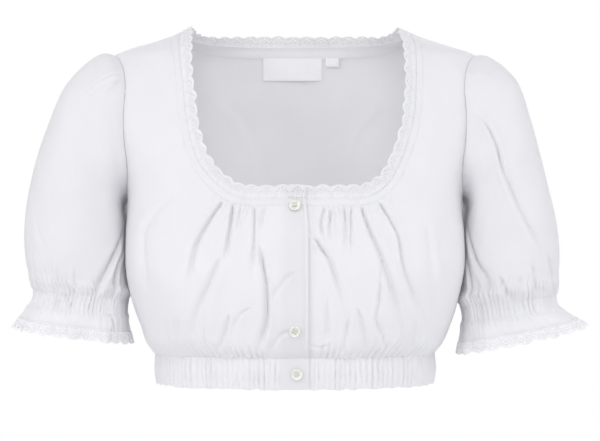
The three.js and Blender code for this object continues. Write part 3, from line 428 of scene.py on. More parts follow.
def front_places(side, columns, corner, rows, strap_rows):
    """Angle and z over one front, its kept cells, and the edge along the neck. Its own side is +X."""
    table = LEFT_NECK if side > 0 else RIGHT_NECK
    low_angle, low_z = neck_curve(table, "front", 0, STRAP_ROW, corner + 1)
    strap = neck_curve(table, "front", STRAP_ROW, len(table) - 1, strap_rows + 1)
    strap_angle, strap_z = strap
    below_strap = np.linspace(NECK_SHARE, 1, columns - corner + 1)
    across = np.concatenate([np.linspace(0, NECK_SHARE, corner + 1), below_strap[1:]])
    beyond = np.clip((across - NECK_SHARE) / (1 - NECK_SHARE), 0, 1)
    arm_angle, arm_z = armhole(np.array(HALF), "front")
    top_angle = np.concatenate([low_angle, mix(strap_angle[0], arm_angle, beyond[corner + 1:])])
    top_z = np.concatenate([low_z, mix(strap_z[0], arm_z, beyond[corner + 1:])])
    up = np.linspace(0, 1, rows + 1)[None, :]
    foot_edge = angle_across(-front_edge(WAIST_Z), WAIST_Z, "front")
    angle = mix(mix(foot_edge, HALF / 2, across)[:, None], top_angle[:, None], up)
    z = mix(WAIST_Z, top_z[:, None], up)
    own = angle_across(-front_edge(z[0]), z[0], "front") - angle[0]
    angle = angle + own[None, :] * smooth(1 - across / 0.16)[:, None]
    swing = HALF * (1 - np.arange(1, strap_rows + 1) / strap_rows)
    angle, z = joined_rows((angle, z), strap_part("front", strap, swing, beyond))
    keep = np.ones((columns, rows + strap_rows), bool)
    keep[:corner, rows:] = False
    neck = joined_rows((low_angle, low_z), (strap_angle[1:], strap_z[1:]))
    return across, angle, z, keep, neck


def underlap(x):
    """How far the lower front and its band lie back near the middle."""
    return -UNDERLAP_STEP * (1 - smooth((x - OVERLAP - 1.5) / 7))


def from_side_seam(points):
    """The distance to the side seam on the +X side, which ends at the underarm."""
    z = points[..., 2]
    seam = np.stack([half_width(0 * z, z), 0 * z, z], -1)
    return np.where(z < UNDERARM_Z + 2, np.linalg.norm(points - seam, axis=-1), FAR)


def front_heights(side, across, points, neck_line, arm_line):
    """How far the cloth of one front stands out from the plain body at each place."""
    x, z = points[..., 0], points[..., 2]
    from_neck, from_arm = distance_to(points, neck_line), distance_to(points, arm_line)
    from_side, from_foot = from_side_seam(points), z - WAIST_Z
    folds = fold_height(RIGHT_FOLDS if side < 0 else LEFT_FOLDS, side * x, z)
    calm = smooth(from_side / 16) * smooth(from_neck / 9 - 0.45) * smooth(0.25 + from_foot / 9)
    height = folds * calm * smooth((x - OVERLAP + 24) / 14)

    gathered_width = 185
    along = across[:, None] * gathered_width
    low = smooth((UNDERARM_Z + 26 - z) / 8) * smooth((-z - 150) / 8)
    flat_stand = 50 if side < 0 else 30
    gathered = smooth((along - flat_stand) / 9) * smooth((118 - along) / 10)
    length = 30 + 18 * wobble(along, 9, 31 + side)
    fine = gathers(along, 4.6, 17 + side) * smooth((from_neck - 5.6) / 2)
    fine = fine * smooth(1 - (from_neck - 9) / length)
    height += 0.95 * (0.7 + 0.3 * wobble(along, 13, 35 + side)) * fine * gathered * low
    height += 1.1 * np.exp(-((from_neck - 10.5) / 4) ** 2) * gathered * low
    tunnel = smooth((6.6 - from_neck) / 0.9)
    puckers = gathers(along, 3.1, 23 + side) * smooth(from_neck / 2) * tunnel * mix(0.35, 1, gathered * low)
    height += 0.5 * tunnel + 0.3 * puckers - 0.55 * np.exp(-((from_neck - 6.6) / 0.7) ** 2)

    around = np.arctan2(x, -points[..., 1]) * FRONT_ROUND
    rise = 20 + 13 * wobble(around, 12, 41 + side)
    waist = smooth(1 - (from_foot - 3) / rise) * smooth((x - 20) / 12)
    height += 1.5 * gathers(around, 6.6, 47 + side) * waist
    height += 1.5 * np.exp(-((from_foot - 13) / 9) ** 2) * smooth((x - 12) / 20)
    open_cloth = smooth(from_neck / 30) * smooth(from_arm / 30) * smooth(from_side / 30)
    height += 1.25 * drape(side * x, z, 61) * open_cloth
    pulls = gathers(points[..., 2] + points[..., 1], 7, 53 + side)
    height += 0.4 * pulls * np.exp(-(from_arm / 9) ** 2) + 0.25 * pulls * np.exp(-(from_side / 9) ** 2)
    height += beside(from_arm, 0.25, 1.2) + beside(from_side, 0.4) + beside(from_foot, 0.9, 2.2)
    if side < 0:
        edge = x + front_edge(z)
        height += 0.45 * smooth((3.2 - edge) / 1.2) - 0.35 * np.exp(-((edge - 3.6) / 0.7) ** 2)
    return height + (underlap(x) if side > 0 else 0)


def back_places(columns, corner, rows, upper_rows, strap_rows):
    """Angle and z over half of the back from its middle, its kept cells, and the edge at the neck."""
    side_share = 5 / 8  # of the armhole's outline lies beside the part below the strap
    low_angle, low_z = neck_curve(BACK_NECK, "back", 0, STRAP_ROW, corner + 1)
    strap = neck_curve(BACK_NECK, "back", STRAP_ROW, len(BACK_NECK) - 1, strap_rows + 1)
    strap_angle, strap_z = strap
    across = np.arange(columns + 1) / columns
    beyond = np.clip((across - corner / columns) / (1 - corner / columns), 0, 1)
    level = mix(HALF, HALF / 2, across)
    lower_z = np.linspace(WAIST_Z, UNDERARM_Z, rows + 1)
    angle, z = np.repeat(level[:, None], rows + 1, 1), np.repeat(lower_z[None, :], columns + 1, 0)
    rise = np.arange(1, upper_rows + 1)[None, :] / upper_rows
    corner_angle, corner_z = armhole(np.array(HALF * (1 - side_share)), "back")
    top_angle = np.concatenate([low_angle, mix(strap_angle[0], corner_angle, beyond[corner + 1:])])[:, None]
    top_z = np.concatenate([low_z, mix(strap_z[0], corner_z, beyond[corner + 1:])])[:, None]
    edge_angle, edge_z = armhole(HALF * (1 - rise * side_share), "back")
    pull = (across ** 2)[:, None]
    upper_angle = mix(level[:, None], top_angle, rise)
    upper_angle = upper_angle + pull * (edge_angle - mix(HALF / 2, corner_angle, rise))
    upper_z = mix(UNDERARM_Z, top_z, rise) + pull * (edge_z - mix(UNDERARM_Z, corner_z, rise))
    swing = HALF * (1 - side_share) * (1 - np.arange(1, strap_rows + 1) / strap_rows)
    angle, z = joined_rows((angle, z), (upper_angle, upper_z), strap_part("back", strap, swing, beyond))
    keep = np.ones((columns, rows + upper_rows + strap_rows), bool)
    keep[:corner, rows + upper_rows:] = False
    neck = joined_rows((low_angle, low_z), (strap_angle[1:], strap_z[1:]))
    return angle, z, keep, neck


def back_heights(points, neck_line, arm_line):
    """How far the cloth of the back stands out from the plain body at each place."""
    x, z = points[..., 0], points[..., 2]
    away = np.stack([np.abs(x), points[..., 1], z], -1)
    from_neck, from_arm = distance_to(away, neck_line), distance_to(away, arm_line)
    from_side, from_foot = from_side_seam(away), z - WAIST_Z
    calm = smooth(from_side / 16) * smooth(0.25 + from_foot / 9)
    height = fold_height(BACK_FOLDS, x, z) * calm
    around = np.arctan2(x, points[..., 1]) * BACK_ROUND
    rise = 17 + 10 * wobble(around, 12, 71)
    height += 1.4 * gathers(around, 6.8, 73) * smooth(1 - (from_foot - 3) / rise)
    height += 1.3 * np.exp(-((from_foot - 12) / 9) ** 2)
    open_cloth = smooth(from_neck / 30) * smooth(from_arm / 30) * smooth(from_side / 30)
    height += 0.9 * drape(x, z, 67) * open_cloth
    pulls = gathers(z + points[..., 1], 7, 79)
    height += 0.25 * pulls * np.exp(-(from_arm / 9) ** 2) + 0.22 * pulls * np.exp(-(from_side / 9) ** 2)
    return height + beside(from_arm, 0.25, 1.2) + beside(from_side, 0.4) + beside(from_foot, 0.9, 2.2)


def sleeve_surface(side, turn, share):
    """A sleeve's finished surface, for the wearer's left side."""
    table, folds = (LEFT_SLEEVE, LEFT_SLEEVE_FOLDS) if side > 0 else (RIGHT_SLEEVE, RIGHT_SLEEVE_FOLDS)
    turn, share = np.broadcast_arrays(np.asarray(turn, float), np.asarray(share, float))
    point, outward = sleeve_form(table, turn, share)
    scaled = [([(degrees / 360 * SLEEVE_ROUND, percent / 100 * SLEEVE_LONG) for degrees, percent in path],
               *rest) for path, *rest in folds]
    around, length = turn * SLEEVE_ROUND, share * SLEEVE_LONG
    top, foot = ELASTIC_TOP, ELASTIC_FOOT
    height = fold_height(scaled, around, length) * smooth(share / 0.03)

    seed = 80 + 10 * (side > 0)
    head = np.minimum(turn, 1 - turn)
    reach = 0.13 + 0.07 * wobble(around, 13, seed, SLEEVE_ROUND)
    cap = smooth(share / 0.018) * smooth(1 - (share - 0.03) / reach) * smooth((0.2 - head) / 0.07)
    cap = cap * (0.55 + 0.45 * wobble(around, 10, seed + 12, SLEEVE_ROUND))
    height += 1.1 * gathers(around, 5.2, seed + 1, SLEEVE_ROUND) * cap
    height += 1.2 * np.exp(-((share - 0.035) / 0.03) ** 2) * smooth((0.24 - head) / 0.1)

    above = 0.12 + 0.055 * wobble(around, 12, seed + 2, SLEEVE_ROUND)
    drawn = np.where(share < top, smooth(1 - (top - share) / above), 1)
    below = 1 - 0.92 * smooth((share - foot) / 0.03)
    ridges = gathers(around + 2.5 * wobble(length, 14, seed + 3), 5.6, seed + 4, SLEEVE_ROUND)
    height += 1.75 * ridges * drawn * below
    casing = smooth((share - top) / 0.006) * smooth((foot - share) / 0.006)
    height += 0.45 * casing * (1 + 0.9 * gathers(around, 4.2, seed + 5, SLEEVE_ROUND)) - 1.6 * casing
    for row in (top, foot):
        height -= (0.8 + 0.4 * ridges) * np.exp(-((share - row) / 0.004) ** 2)
    roll = 1 + 0.35 * wobble(around, 22, seed + 11, SLEEVE_ROUND)
    height += 2.4 * np.exp(-((share - top + 0.032) / 0.026) ** 2) * roll

    flare = smooth((share - foot) / (1 - foot))
    waves = np.cos(FULL * 8 * turn + np.sin(FULL * turn) + 0.8 * wobble(around, 48, seed + 6, SLEEVE_ROUND))
    small = gathers(around, 17, seed + 7, SLEEVE_ROUND)
    fine = gathers(around, 8.5, seed + 8, SLEEVE_ROUND)
    height += flare * (3.4 * waves + 1.1 * small)
    height += 0.6 * smooth((share - foot) / 0.02) * fine * (1 - 0.9 * flare)
    wrapped = drape(45 * np.sin(FULL * turn), length + 40 * np.cos(FULL * turn), seed + 9)
    height += 0.9 * wrapped * smooth(share / 0.15) * smooth((top - share) / 0.15)
    point = point + outward * height[..., None]
    body = half_width(point[..., 1], point[..., 2]) + 1.6 * smooth(share / 0.05) - 1.4
    squeeze = point[..., 0] - body
    point = point.copy()
    point[..., 0] = body + 0.5 * (squeeze + np.sqrt(squeeze ** 2 + 0.3))
    return beside_armhole(point)


def vertex_normals(points, faces):
    normals = np.zeros_like(points)
    if faces.shape[1] == 4:
        face = np.cross(points[faces[:, 2]] - points[faces[:, 0]], points[faces[:, 3]] - points[faces[:, 1]])
    else:
        face = np.cross(points[faces[:, 1]] - points[faces[:, 0]], points[faces[:, 2]] - points[faces[:, 0]])
    for corner in range(faces.shape[1]):
        np.add.at(normals, faces[:, corner], face)
    return unit(normals)


def wall(outer, inner, faces):
    """A closed wall between two like surfaces, with rims along their open edges."""
    count = len(outer)
    after = np.roll(faces, -1, 1)
    edges = np.concatenate([np.column_stack([faces[:, i], after[:, i]]) for i in range(faces.shape[1])])
    border = edges[~np.isin(edges[:, 0] * count + edges[:, 1], edges[:, 1] * count + edges[:, 0])]
    a, b = border[:, 0], border[:, 1]
    rims = np.column_stack([b, a, a + count, b + count])
    return np.concatenate([outer, inner]), [faces, faces[:, ::-1] + count, rims]


def shell(points, faces, thickness):
    """A wall of one thickness, in from a surface along its normals."""
    return wall(points, points - vertex_normals(points, faces) * thickness, faces)


def flat_sheet(loops, extra, holes, least):
    """Triangles between flat loops and extra points, all turned one way, with round holes left open."""
    constraints, count = [], 0
    for loop in loops:
        constraints += [(count + k, count + (k + 1) % len(loop)) for k in range(len(loop))]
        count += len(loop)
    flat = [Vector(p) for p in np.concatenate(loops + [extra])]
    places, _, faces, *_ = delaunay_2d_cdt(flat, constraints, [], 1, 1e-5)
    places, faces = np.array([tuple(p) for p in places]), np.array(faces)
    centre = places[faces].mean(1)
    for x, y, radius in holes:
        beyond = np.hypot(centre[:, 0] - x, centre[:, 1] - y) >= radius
        faces, centre = faces[beyond], centre[beyond]
    a, b, c = places[faces[:, 0]], places[faces[:, 1]], places[faces[:, 2]]
    doubled = (b[:, 0] - a[:, 0]) * (c[:, 1] - a[:, 1]) - (b[:, 1] - a[:, 1]) * (c[:, 0] - a[:, 0])
    return places, np.where((doubled < 0)[:, None], faces[:, ::-1], faces)[np.abs(doubled) > least]


def make_mesh(name, points, faces, material, uv=None, wrap=None):
    """A mesh object in metres from points in millimetres; uv is cloth coordinates, one pair a point."""
    faces = [f for f in faces if len(f)]
    loops = np.concatenate([f.ravel() for f in faces]).astype(np.int32)
    sizes = np.concatenate([np.full(len(f), f.shape[1]) for f in faces])
    starts = np.concatenate([[0], np.cumsum(sizes)[:-1]]).astype(np.int32)
    mesh = bpy.data.meshes.new(name)
    mesh.vertices.add(len(points))
    mesh.vertices.foreach_set("co", (points * MM).astype(np.float32).ravel())
    mesh.loops.add(len(loops))
    mesh.loops.foreach_set("vertex_index", loops)
    mesh.polygons.add(len(sizes))
    mesh.polygons.foreach_set("loop_start", starts)
    mesh.update(calc_edges=True)
    if uv is not None:
        uv = np.concatenate([uv] * (len(points) // len(uv)))[loops] * MM
        if wrap:
            owner = np.repeat(np.arange(len(sizes)), sizes)
            most = np.full(len(sizes), -np.inf)
            np.maximum.at(most, owner, uv[:, 0])
            uv[:, 0] += np.where(most[owner] - uv[:, 0] > wrap * MM / 2, wrap * MM, 0)
        mesh.uv_layers.new(name="cloth").data.foreach_set("uv", uv.astype(np.float32).ravel())
    mesh.polygons.foreach_set("use_smooth", np.ones(len(sizes), bool))
    mesh.set_sharp_from_angle(angle=math.radians(55))
    mesh.validate()
    mesh.materials.append(material)
    made = bpy.data.objects.new(name, mesh)
    bpy.context.scene.collection.objects.link(made)
    return made


def grid_faces(columns, rows, keep=None, closed=False):
    """Quads over a grid whose points are numbered column by column."""
    i, j = np.meshgrid(np.arange(columns), np.arange(rows), indexing="ij")
    after = (i + 1) % columns if closed else i + 1
    stride = rows + 1
    quads = np.stack([i * stride + j, after * stride + j, after * stride + j + 1, i * stride + j + 1], -1)
    return quads[keep] if keep is not None else quads.reshape(-1, 4)


def used_only(points, uv, faces):
    """The points, cloth coordinates and renumbered faces without the points that no face uses."""
    kept, renumbered = np.unique(faces, return_inverse=True)
    return points.reshape(-1, 3)[kept], uv.reshape(-1, 2)[kept], renumbered.reshape(faces.shape)


def mirrored(points, faces):
    return points * np.array([-1, 1, 1]), faces[:, ::-1]


def finish_piece(made, slot, *nodes, cut=None, held="gathered", rests=(), area=None):
    """Every piece rides on the body and hides the solids it stands for; how a cloth piece was cut is given in
    cut, which is not used.
    """
    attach(made, "root")
    if nodes:
        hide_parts(*nodes)


def join(links, *rows):
    """Links an output of one node to an input of another, row by row."""
    for giver, output, taker, into in rows:
        links.new(giver.outputs[output], taker.inputs[into])


def mark_points(made, name, values):
    """Gives the points of both faces of a wall a value that its material can read."""
    layer = made.data.attributes.new(name, "FLOAT", "POINT")
    layer.data.foreach_set("value", np.tile(values, 2).astype(np.float32))


# Materials


def start_material(name, roughness, sheen=0.0, coat=0.0):
    material = bpy.data.materials.new(name)
    material.use_nodes = True
    nodes, links = material.node_tree.nodes, material.node_tree.links
    shader = nodes["Principled BSDF"]
    for socket, value in (("Roughness", roughness), ("Sheen Weight", sheen), ("Sheen Roughness", 0.6),
                          ("Coat Weight", coat), ("Coat Roughness", 0.12), ("Specular IOR Level", 0.25)):
        shader.inputs[socket].default_value = value
    return material, nodes, links, shader


def node(nodes, kind, **settings):
    made = nodes.new(kind)
    for key, value in settings.items():
        if hasattr(made, key):
            setattr(made, key, value)
        else:
            made.inputs[key.replace("_", " ")].default_value = value
    return made


def noise(nodes, links, place, **settings):
    """Random clouds over a piece, from 0 to 1."""
    made = node(nodes, "ShaderNodeTexNoise", **settings)
    join(links, (place, "Object", made, "Vector"))
    return made.outputs["Fac"]


def blend_colours(nodes, links, amount, dark, light, low=0.3, high=0.7):
    ramp = node(nodes, "ShaderNodeValToRGB")
    for stop, place, colour in zip(ramp.color_ramp.elements, (low, high), (dark, light)):
        stop.position, stop.color = place, (*colour, 1)
    links.new(amount, ramp.inputs["Fac"])
    return ramp.outputs["Color"]


def weave(nodes, links, pitch):
    """Height of a plain weave with uneven threads, from 0 to 1. The pitch of its threads is in metres."""
    place = node(nodes, "ShaderNodeTexCoord")
    threads = node(nodes, "ShaderNodeMath", operation="MULTIPLY")
    for into, direction in enumerate(("X", "Y")):
        wave = node(nodes, "ShaderNodeTexWave", wave_type="BANDS", bands_direction=direction,
                    Scale=FULL / (20 * pitch), Distortion=1.2, Detail=1, Detail_Scale=0.4)
        join(links, (place, "UV", wave, "Vector"), (wave, "Fac", threads, into))
    return threads.outputs[0], place


def bump(nodes, links, height, strength, distance, normal=None):
    made = node(nodes, "ShaderNodeBump", Strength=strength, Distance=distance)
    links.new(height, made.inputs["Height"])
    if normal:
        links.new(normal, made.inputs["Normal"])
    return made.outputs["Normal"]


def paint_shader(links, shader, colour, normal):
    links.new(colour, shader.inputs["Base Color"])
    links.new(normal, shader.inputs["Normal"])


def thin(material, colour, share):
    """Lets a share of the light through, as a single layer of fine cotton does."""
    nodes, links = material.node_tree.nodes, material.node_tree.links
    through_cloth = node(nodes, "ShaderNodeBsdfTranslucent", Color=(*colour, 1))
    both = node(nodes, "ShaderNodeMixShader", Fac=share)
    join(links, (nodes["Principled BSDF"], "BSDF", both, 1), (through_cloth, "BSDF", both, 2),
         (both, "Shader", nodes["Material Output"], "Surface"))
    return material


def cotton_cloth(name, dark, light, crumple=0.22, share=0.3):
    """Plain-weave cotton: fine threads, faint mottling, small soft crumples."""
    material, nodes, links, shader = start_material(name, 0.86, sheen=0.12)
    threads, place = weave(nodes, links, 0.0005)
    cloud = noise(nodes, links, place, Scale=26.0, Detail=4.0)
    tint = node(nodes, "ShaderNodeMix", data_type="RGBA", blend_type="MULTIPLY", Factor=0.05)
    links.new(blend_colours(nodes, links, cloud, dark, light), tint.inputs["A"])
    links.new(threads, tint.inputs["B"])
    soft = noise(nodes, links, place, Scale=75.0, Detail=5.0, Roughness=0.55, Distortion=0.6)
    crumpled = bump(nodes, links, soft, crumple, 0.0016)
    paint_shader(links, shader, tint.outputs["Result"], bump(nodes, links, threads, 0.3, 0.00008, crumpled))
    return thin(material, (0.875, 0.872, 0.872), share)


def lace_cloth():
    """Embroidered batiste: the weave of the ground under close satin stitches that run across the strip, with
    painted shade on the ground between the worked threads.
    """
    material, nodes, links, shader = start_material("eyelet_lace", 0.8, sheen=0.15)
    threads, place = weave(nodes, links, 0.0005)
    satin = node(nodes, "ShaderNodeTexNoise", Scale=900.0, Detail=2.0)
    worked = node(nodes, "ShaderNodeAttribute", attribute_name="worked")
    both = node(nodes, "ShaderNodeMix", data_type="FLOAT")
    join(links, (place, "UV", satin, "Vector"), (worked, "Fac", both, "Factor"), (satin, "Fac", both, "B"))
    links.new(threads, both.inputs["A"])
    # Painted shade: the ground away from the worked rims is darker than the worked threads, standing in for
    # the shade round the eyelets.
    dark, light = (0.83, 0.83, 0.86), (0.91, 0.91, 0.935)
    colour = blend_colours(nodes, links, worked.outputs["Fac"], dark, light, 0.1, 0.8)
    paint_shader(links, shader, colour, bump(nodes, links, both.outputs["Result"], 0.4, 0.00015))
    return thin(material, (0.9, 0.897, 0.897), 0.4)


def label_satin():
    """Woven tape: close cross ribs with a soft shine, and nothing on it."""
    material, nodes, links, shader = start_material("label_satin", 0.42, sheen=0.1)
    threads, place = weave(nodes, links, 0.00032)
    cloud = noise(nodes, links, place, Scale=40.0, Detail=3.0)
    colour = blend_colours(nodes, links, cloud, (0.88, 0.88, 0.91), (0.92, 0.92, 0.94))
    paint_shader(links, shader, colour, bump(nodes, links, threads, 0.5, 0.0001))
    return material


def pearl_shell():
    """Pearly resin: cool clouds in layers under a clear polish, greyer and greener in the dished middle."""
    material, nodes, links, shader = start_material("pearl_resin", 0.34, coat=0.25)
    place = node(nodes, "ShaderNodeTexCoord")
    layers = noise(nodes, links, place, Scale=260.0, Detail=4.0, Distortion=1.8)
    middle = node(nodes, "ShaderNodeAttribute", attribute_name="middle")
    both = node(nodes, "ShaderNodeMix", data_type="RGBA")
    join(links, (middle, "Fac", both, "Factor"))
    rim = blend_colours(nodes, links, layers, (0.56, 0.57, 0.54), (0.74, 0.74, 0.72), 0.3, 0.58)
    dish = blend_colours(nodes, links, layers, (0.5, 0.52, 0.4), (0.66, 0.67, 0.56), 0.32, 0.6)
    links.new(rim, both.inputs["A"])
    links.new(dish, both.inputs["B"])
    paint_shader(links, shader, both.outputs["Result"], bump(nodes, links, layers, 0.06, 0.0004))
    return material


def sewing_thread():
    material, nodes, links, shader = start_material("sewing_thread", 0.6, sheen=0.2)
    twist = noise(nodes, links, node(nodes, "ShaderNodeTexCoord"), Scale=1500.0, Detail=2.0)
    colour = blend_colours(nodes, links, twist, (0.76, 0.76, 0.81), (0.86, 0.86, 0.9))
    paint_shader(links, shader, colour, bump(nodes, links, twist, 0.4, 0.0001))
    return material


COTTON = cotton_cloth("cotton_weave", (0.845, 0.845, 0.88), (0.87, 0.87, 0.902))
# Painted shade: the elastic band's cotton is a darker copy of the same cloth, standing in for shade on the
# band.
SHADED_BAND_COTTON = cotton_cloth("band_cotton_painted_shade", (0.825, 0.825, 0.86), (0.85, 0.85, 0.882), crumple=0.3)
# Painted light: the facing tape is a lighter copy of the same cotton, standing in for light that does not
# reach inside the back neck.
LIT_TAPE_COTTON = cotton_cloth("tape_cotton_painted_light", (0.9, 0.9, 0.925), (0.94, 0.94, 0.96), share=0.12)
LACE, SATIN, PEARL, THREAD = lace_cloth(), label_satin(), pearl_shell(), sewing_thread()

# Panels


def line_inside(points, corner, rows, strap_rows, distance):
    """A line on a panel at a distance from its neck edge, by its grid of points."""
    near, skipped = 14, 3  # grid steps looked at inside the edge, and left out beside the corner
    below = [points[i, rows::-1][:near] for i in range(corner + 1 - skipped)]
    beside_neck = [points[corner:corner + near, j] for j in range(rows + skipped, rows + strap_rows + 1)]
    return np.array([read_at(distance, run_along(row), row) for row in below + beside_neck])


def front_panel(side):
    """One front: its object, the neck edge with normals, and lines for stitches."""
    columns, corner, rows, strap_rows = 220, 140, 150, 80
    across, angle, z, keep, (neck_angle, neck_z) = front_places(side, columns, corner, rows, strap_rows)
    plain, outward = torso(angle, z), torso_normal(angle, z)
    arm_line = torso(*armhole(np.linspace(0, HALF, 90), "front"))
    height = front_heights(side, across, plain, torso(neck_angle, neck_z), arm_line)
    points = beside_armhole(plain + outward * height[..., None])
    flip = np.array([side, 1, 1])
    neck = np.concatenate([points[:corner + 1, rows], points[corner, rows + 1:]]) * flip
    normals = np.concatenate([outward[:corner + 1, rows], outward[corner, rows + 1:]]) * flip
    stitches = [line_inside(points, corner, rows, strap_rows, inside) * flip for inside in (1.4, 5.8)]
    edge = points[2, :rows + 1] * flip
    uv = np.stack([angle * FRONT_ROUND, z], -1)
    flat, uv, faces = used_only(points, uv, grid_faces(columns, rows + strap_rows, keep))
    if side < 0:
        flat, faces = mirrored(flat, faces)
    walls = shell(flat, faces, CLOTH)
    name = "left" if side > 0 else "right"
    made = make_mesh("gathered_front_" + name, *walls, COTTON, uv)
    finish_piece(made, "cotton", "front_" + name, cut=(0.3, 0.34), rests=["back_panel"], area=0.062)
    return {"neck": neck, "normals": normals, "stitches": stitches, "edge": edge}


def back_panel():
    """The back: its neck edge with normals."""
    columns, corner, rows, upper, strap_rows = 80, 50, 60, 56, 26
    angle, z, keep, (neck_angle, neck_z) = back_places(columns, corner, rows, upper, strap_rows)
    both = np.concatenate([-angle[:0:-1], angle]), np.concatenate([z[:0:-1], z])
    plain, outward = torso(*both), torso_normal(*both)
    arm_line = torso(*armhole(np.linspace(0, HALF, 90), "back"))
    height = back_heights(plain, torso(neck_angle, neck_z), arm_line)
    points = beside_armhole(plain + outward * height[..., None])
    top, middle = rows + upper, columns
    half_line = [(middle + i, top) for i in range(corner + 1)]
    half_line += [(middle + corner, top + j) for j in range(1, strap_rows + 1)]
    right_line = [(2 * middle - i, j) for i, j in half_line[::-1]]
    order = np.array(right_line + half_line[1:])
    neck, normals = points[order[:, 0], order[:, 1]], outward[order[:, 0], order[:, 1]]
    whole_keep = np.concatenate([keep[::-1], keep])
    uv = np.stack([np.mod(both[0], FULL) * FRONT_ROUND, both[1]], -1)
    flat, uv, faces = used_only(points, uv, grid_faces(2 * columns, top + strap_rows, whole_keep)[:, ::-1])
    made = make_mesh("back_panel", *shell(flat, faces, CLOTH), COTTON, uv)
    finish_piece(made, "cotton", "back", cut=(0.47, 0.32), area=0.14,
                 rests=["gathered_front_right", "gathered_front_left"])
    return {"neck": neck, "normals": normals}


def sleeve(side):
    """A puff sleeve with its ruffle, from the armhole to the ruffle's hem."""
    columns = 264
    stretches = ((0, 0.1, 17), (0.1, 0.72, 42), (0.72, 0.84, 16), (0.84, 0.91, 20), (0.91, RUFFLE_HEM, 10))
    share = np.concatenate([[0]] + [np.linspace(*stretch)[1:] for stretch in stretches])
    turn = np.arange(columns) / columns
    points = sleeve_surface(side, turn[:, None], share[None, :])
    uv = np.stack(np.broadcast_arrays(turn[:, None] * SLEEVE_ROUND, -share[None, :] * SLEEVE_LONG), -1)
    flat, faces = points.reshape(-1, 3), grid_faces(columns, len(share) - 1, closed=True)
    if side < 0:
        flat, faces = mirrored(flat, faces)
    name = "left" if side > 0 else "right"
    walls = shell(flat, faces, CLOTH)
    made = make_mesh("puff_sleeve_" + name, *walls, COTTON, uv.reshape(-1, 2), wrap=SLEEVE_ROUND)
    finish_piece(made, "cotton", "sleeve_" + name, cut=(0.4, 0.29), area=0.105,
                 rests=["back_panel", "gathered_front_" + name])


def waistband(name, start, end, lower=False, stand=None):
    """A stretch of the gathered elastic band between two body angles; stand is where it lies flat."""
    whole, rows = FULL * BAND_ROUND, 14
    around = np.append(np.arange(start, end, 0.0066), end)
    angle, rise = np.meshgrid(around, np.linspace(0, 1, rows + 1), indexing="ij")
    z = mix(HEM_Z, WAIST_Z, rise)
    plain, outward = torso(angle, z), torso_normal(angle, z)
    along = angle * BAND_ROUND
    swell = np.sin(HALF * rise)
    ridges = gathers(along + 1.3 * wobble(z, 9, 5) * wobble(along, 21, 6), 5.7, 91, whole)
    fine = gathers(along, 2.9, 95, whole)
    full = 1
    if stand:
        full = smooth((stand[0] - plain[..., 0]) / 5) + smooth((plain[..., 0] - stand[1]) / 5)
    full = np.where(plain[..., 1] > 0, 1, full)
    height = full * (1.55 * ridges * (0.5 + 0.5 * swell) + 0.22 * fine * swell) + 0.9 * swell ** 0.6 - 0.7
    height += 0.35 * wobble(along, 34, 97, whole) * swell
    height += np.where(plain[..., 1] < 0, underlap(plain[..., 0]), 0) if lower else 0
    points = plain + outward * height[..., None]
    points[..., 2] += full * 0.9 * wobble(along, 7, 99, whole) * (1 - rise)
    uv = np.stack([along, z], -1).reshape(-1, 2)
    walls = shell(points.reshape(-1, 3), grid_faces(len(around) - 1, rows), BAND_CLOTH)
    made = make_mesh("elastic_band_" + name, *walls, SHADED_BAND_COTTON, uv)
    width = (end - start) * BAND_ROUND * MM * 1.25
    neighbour = "gathered_front_" + (name if name != "back" else "left")
    finish_piece(made, "cotton", "waistband_" + name, cut=(width, 0.034), rests=[neighbour])


# Lace


def lace_repeat(width, pitch=LACE_PITCH, depth=2.6):
    """One scallop of eyelet lace, flat: places along and across, triangles, and how closely it is worked."""
    steps = np.linspace(0, 1, 31)
    picots = 0.5 * np.abs(np.sin(6 * HALF * steps))
    free = np.column_stack([pitch * steps, width + depth * np.sin(HALF * steps) ** 0.8 + picots])
    side = np.linspace(-1, width, 11)[1:-1]
    foot = np.linspace(0, pitch, 13)
    outline = np.concatenate([
        np.column_stack([foot, 0 * foot - 1]), np.column_stack([0 * side + pitch, side]),
        free[::-1], np.column_stack([0 * side, side[::-1]]),
    ])
    middle = pitch / 2
    eyelets = [(middle, width + 0.1, 0.95), (middle - 2.7, width - 1.9, 0.8),
               (middle + 2.7, width - 1.9, 0.8), (middle, width - 3.4, 0.7),
               (middle - 5.0, width - 4.2, 0.7), (middle + 5.0, width - 4.2, 0.7)]
    eyelets += [(at, 1.8, 0.46) for at in (1.25, 3.75, 6.25, 8.75, 11.25, 13.75)]
    eyelets += [(at, 4.3, 0.4) for at in (3.4, 6.3, 8.7, 11.6)]
    rings, holes = [], []
    for x, y, radius in eyelets:
        large = radius > 0.5
        turn = np.arange(12 if large else 8) / (12 if large else 8) * FULL
        circle = np.column_stack([np.cos(turn), np.sin(turn)])
        holes.append(circle * radius + (x, y))
        rings += [circle * (radius + more) + (x, y) for more in ((0.4, 0.85) if large else (0.4,))]
    spread = np.meshgrid(np.arange(1.1, pitch - 0.5, 1.25), np.arange(0.1, width + depth, 1.2), indexing="ij")

    def on_ground(x, y):
        clear = all(math.hypot(x - at, y - up) > radius + 1.3 for at, up, radius in eyelets)
        return clear and y < width + depth * math.sin(HALF * x / pitch) ** 0.8 - 1.3

    ground = np.array([p for p in np.stack(spread, -1).reshape(-1, 2) if on_ground(*p)])
    band = free[2:-2] - (0, 0.7)
    extra = np.concatenate(rings + [ground, band, band[::2] - (0, 0.6)])
    open_holes = [(x, y, radius * 0.9) for x, y, radius in eyelets]
    places, faces = flat_sheet([outline] + holes, extra, open_holes, 1e-6)
    from_edge = np.hypot(places[:, None, 0] - free[None, :, 0], places[:, None, 1] - free[None, :, 1]).min(1)
    worked = np.exp(-((from_edge - 0.7) / 0.65) ** 2)
    for x, y, radius in eyelets:
        from_hole = np.hypot(places[:, 0] - x, places[:, 1] - y) - radius
        worked = np.maximum(worked, np.exp(-((from_hole - 0.38) / 0.33) ** 2))
    return places, faces, worked


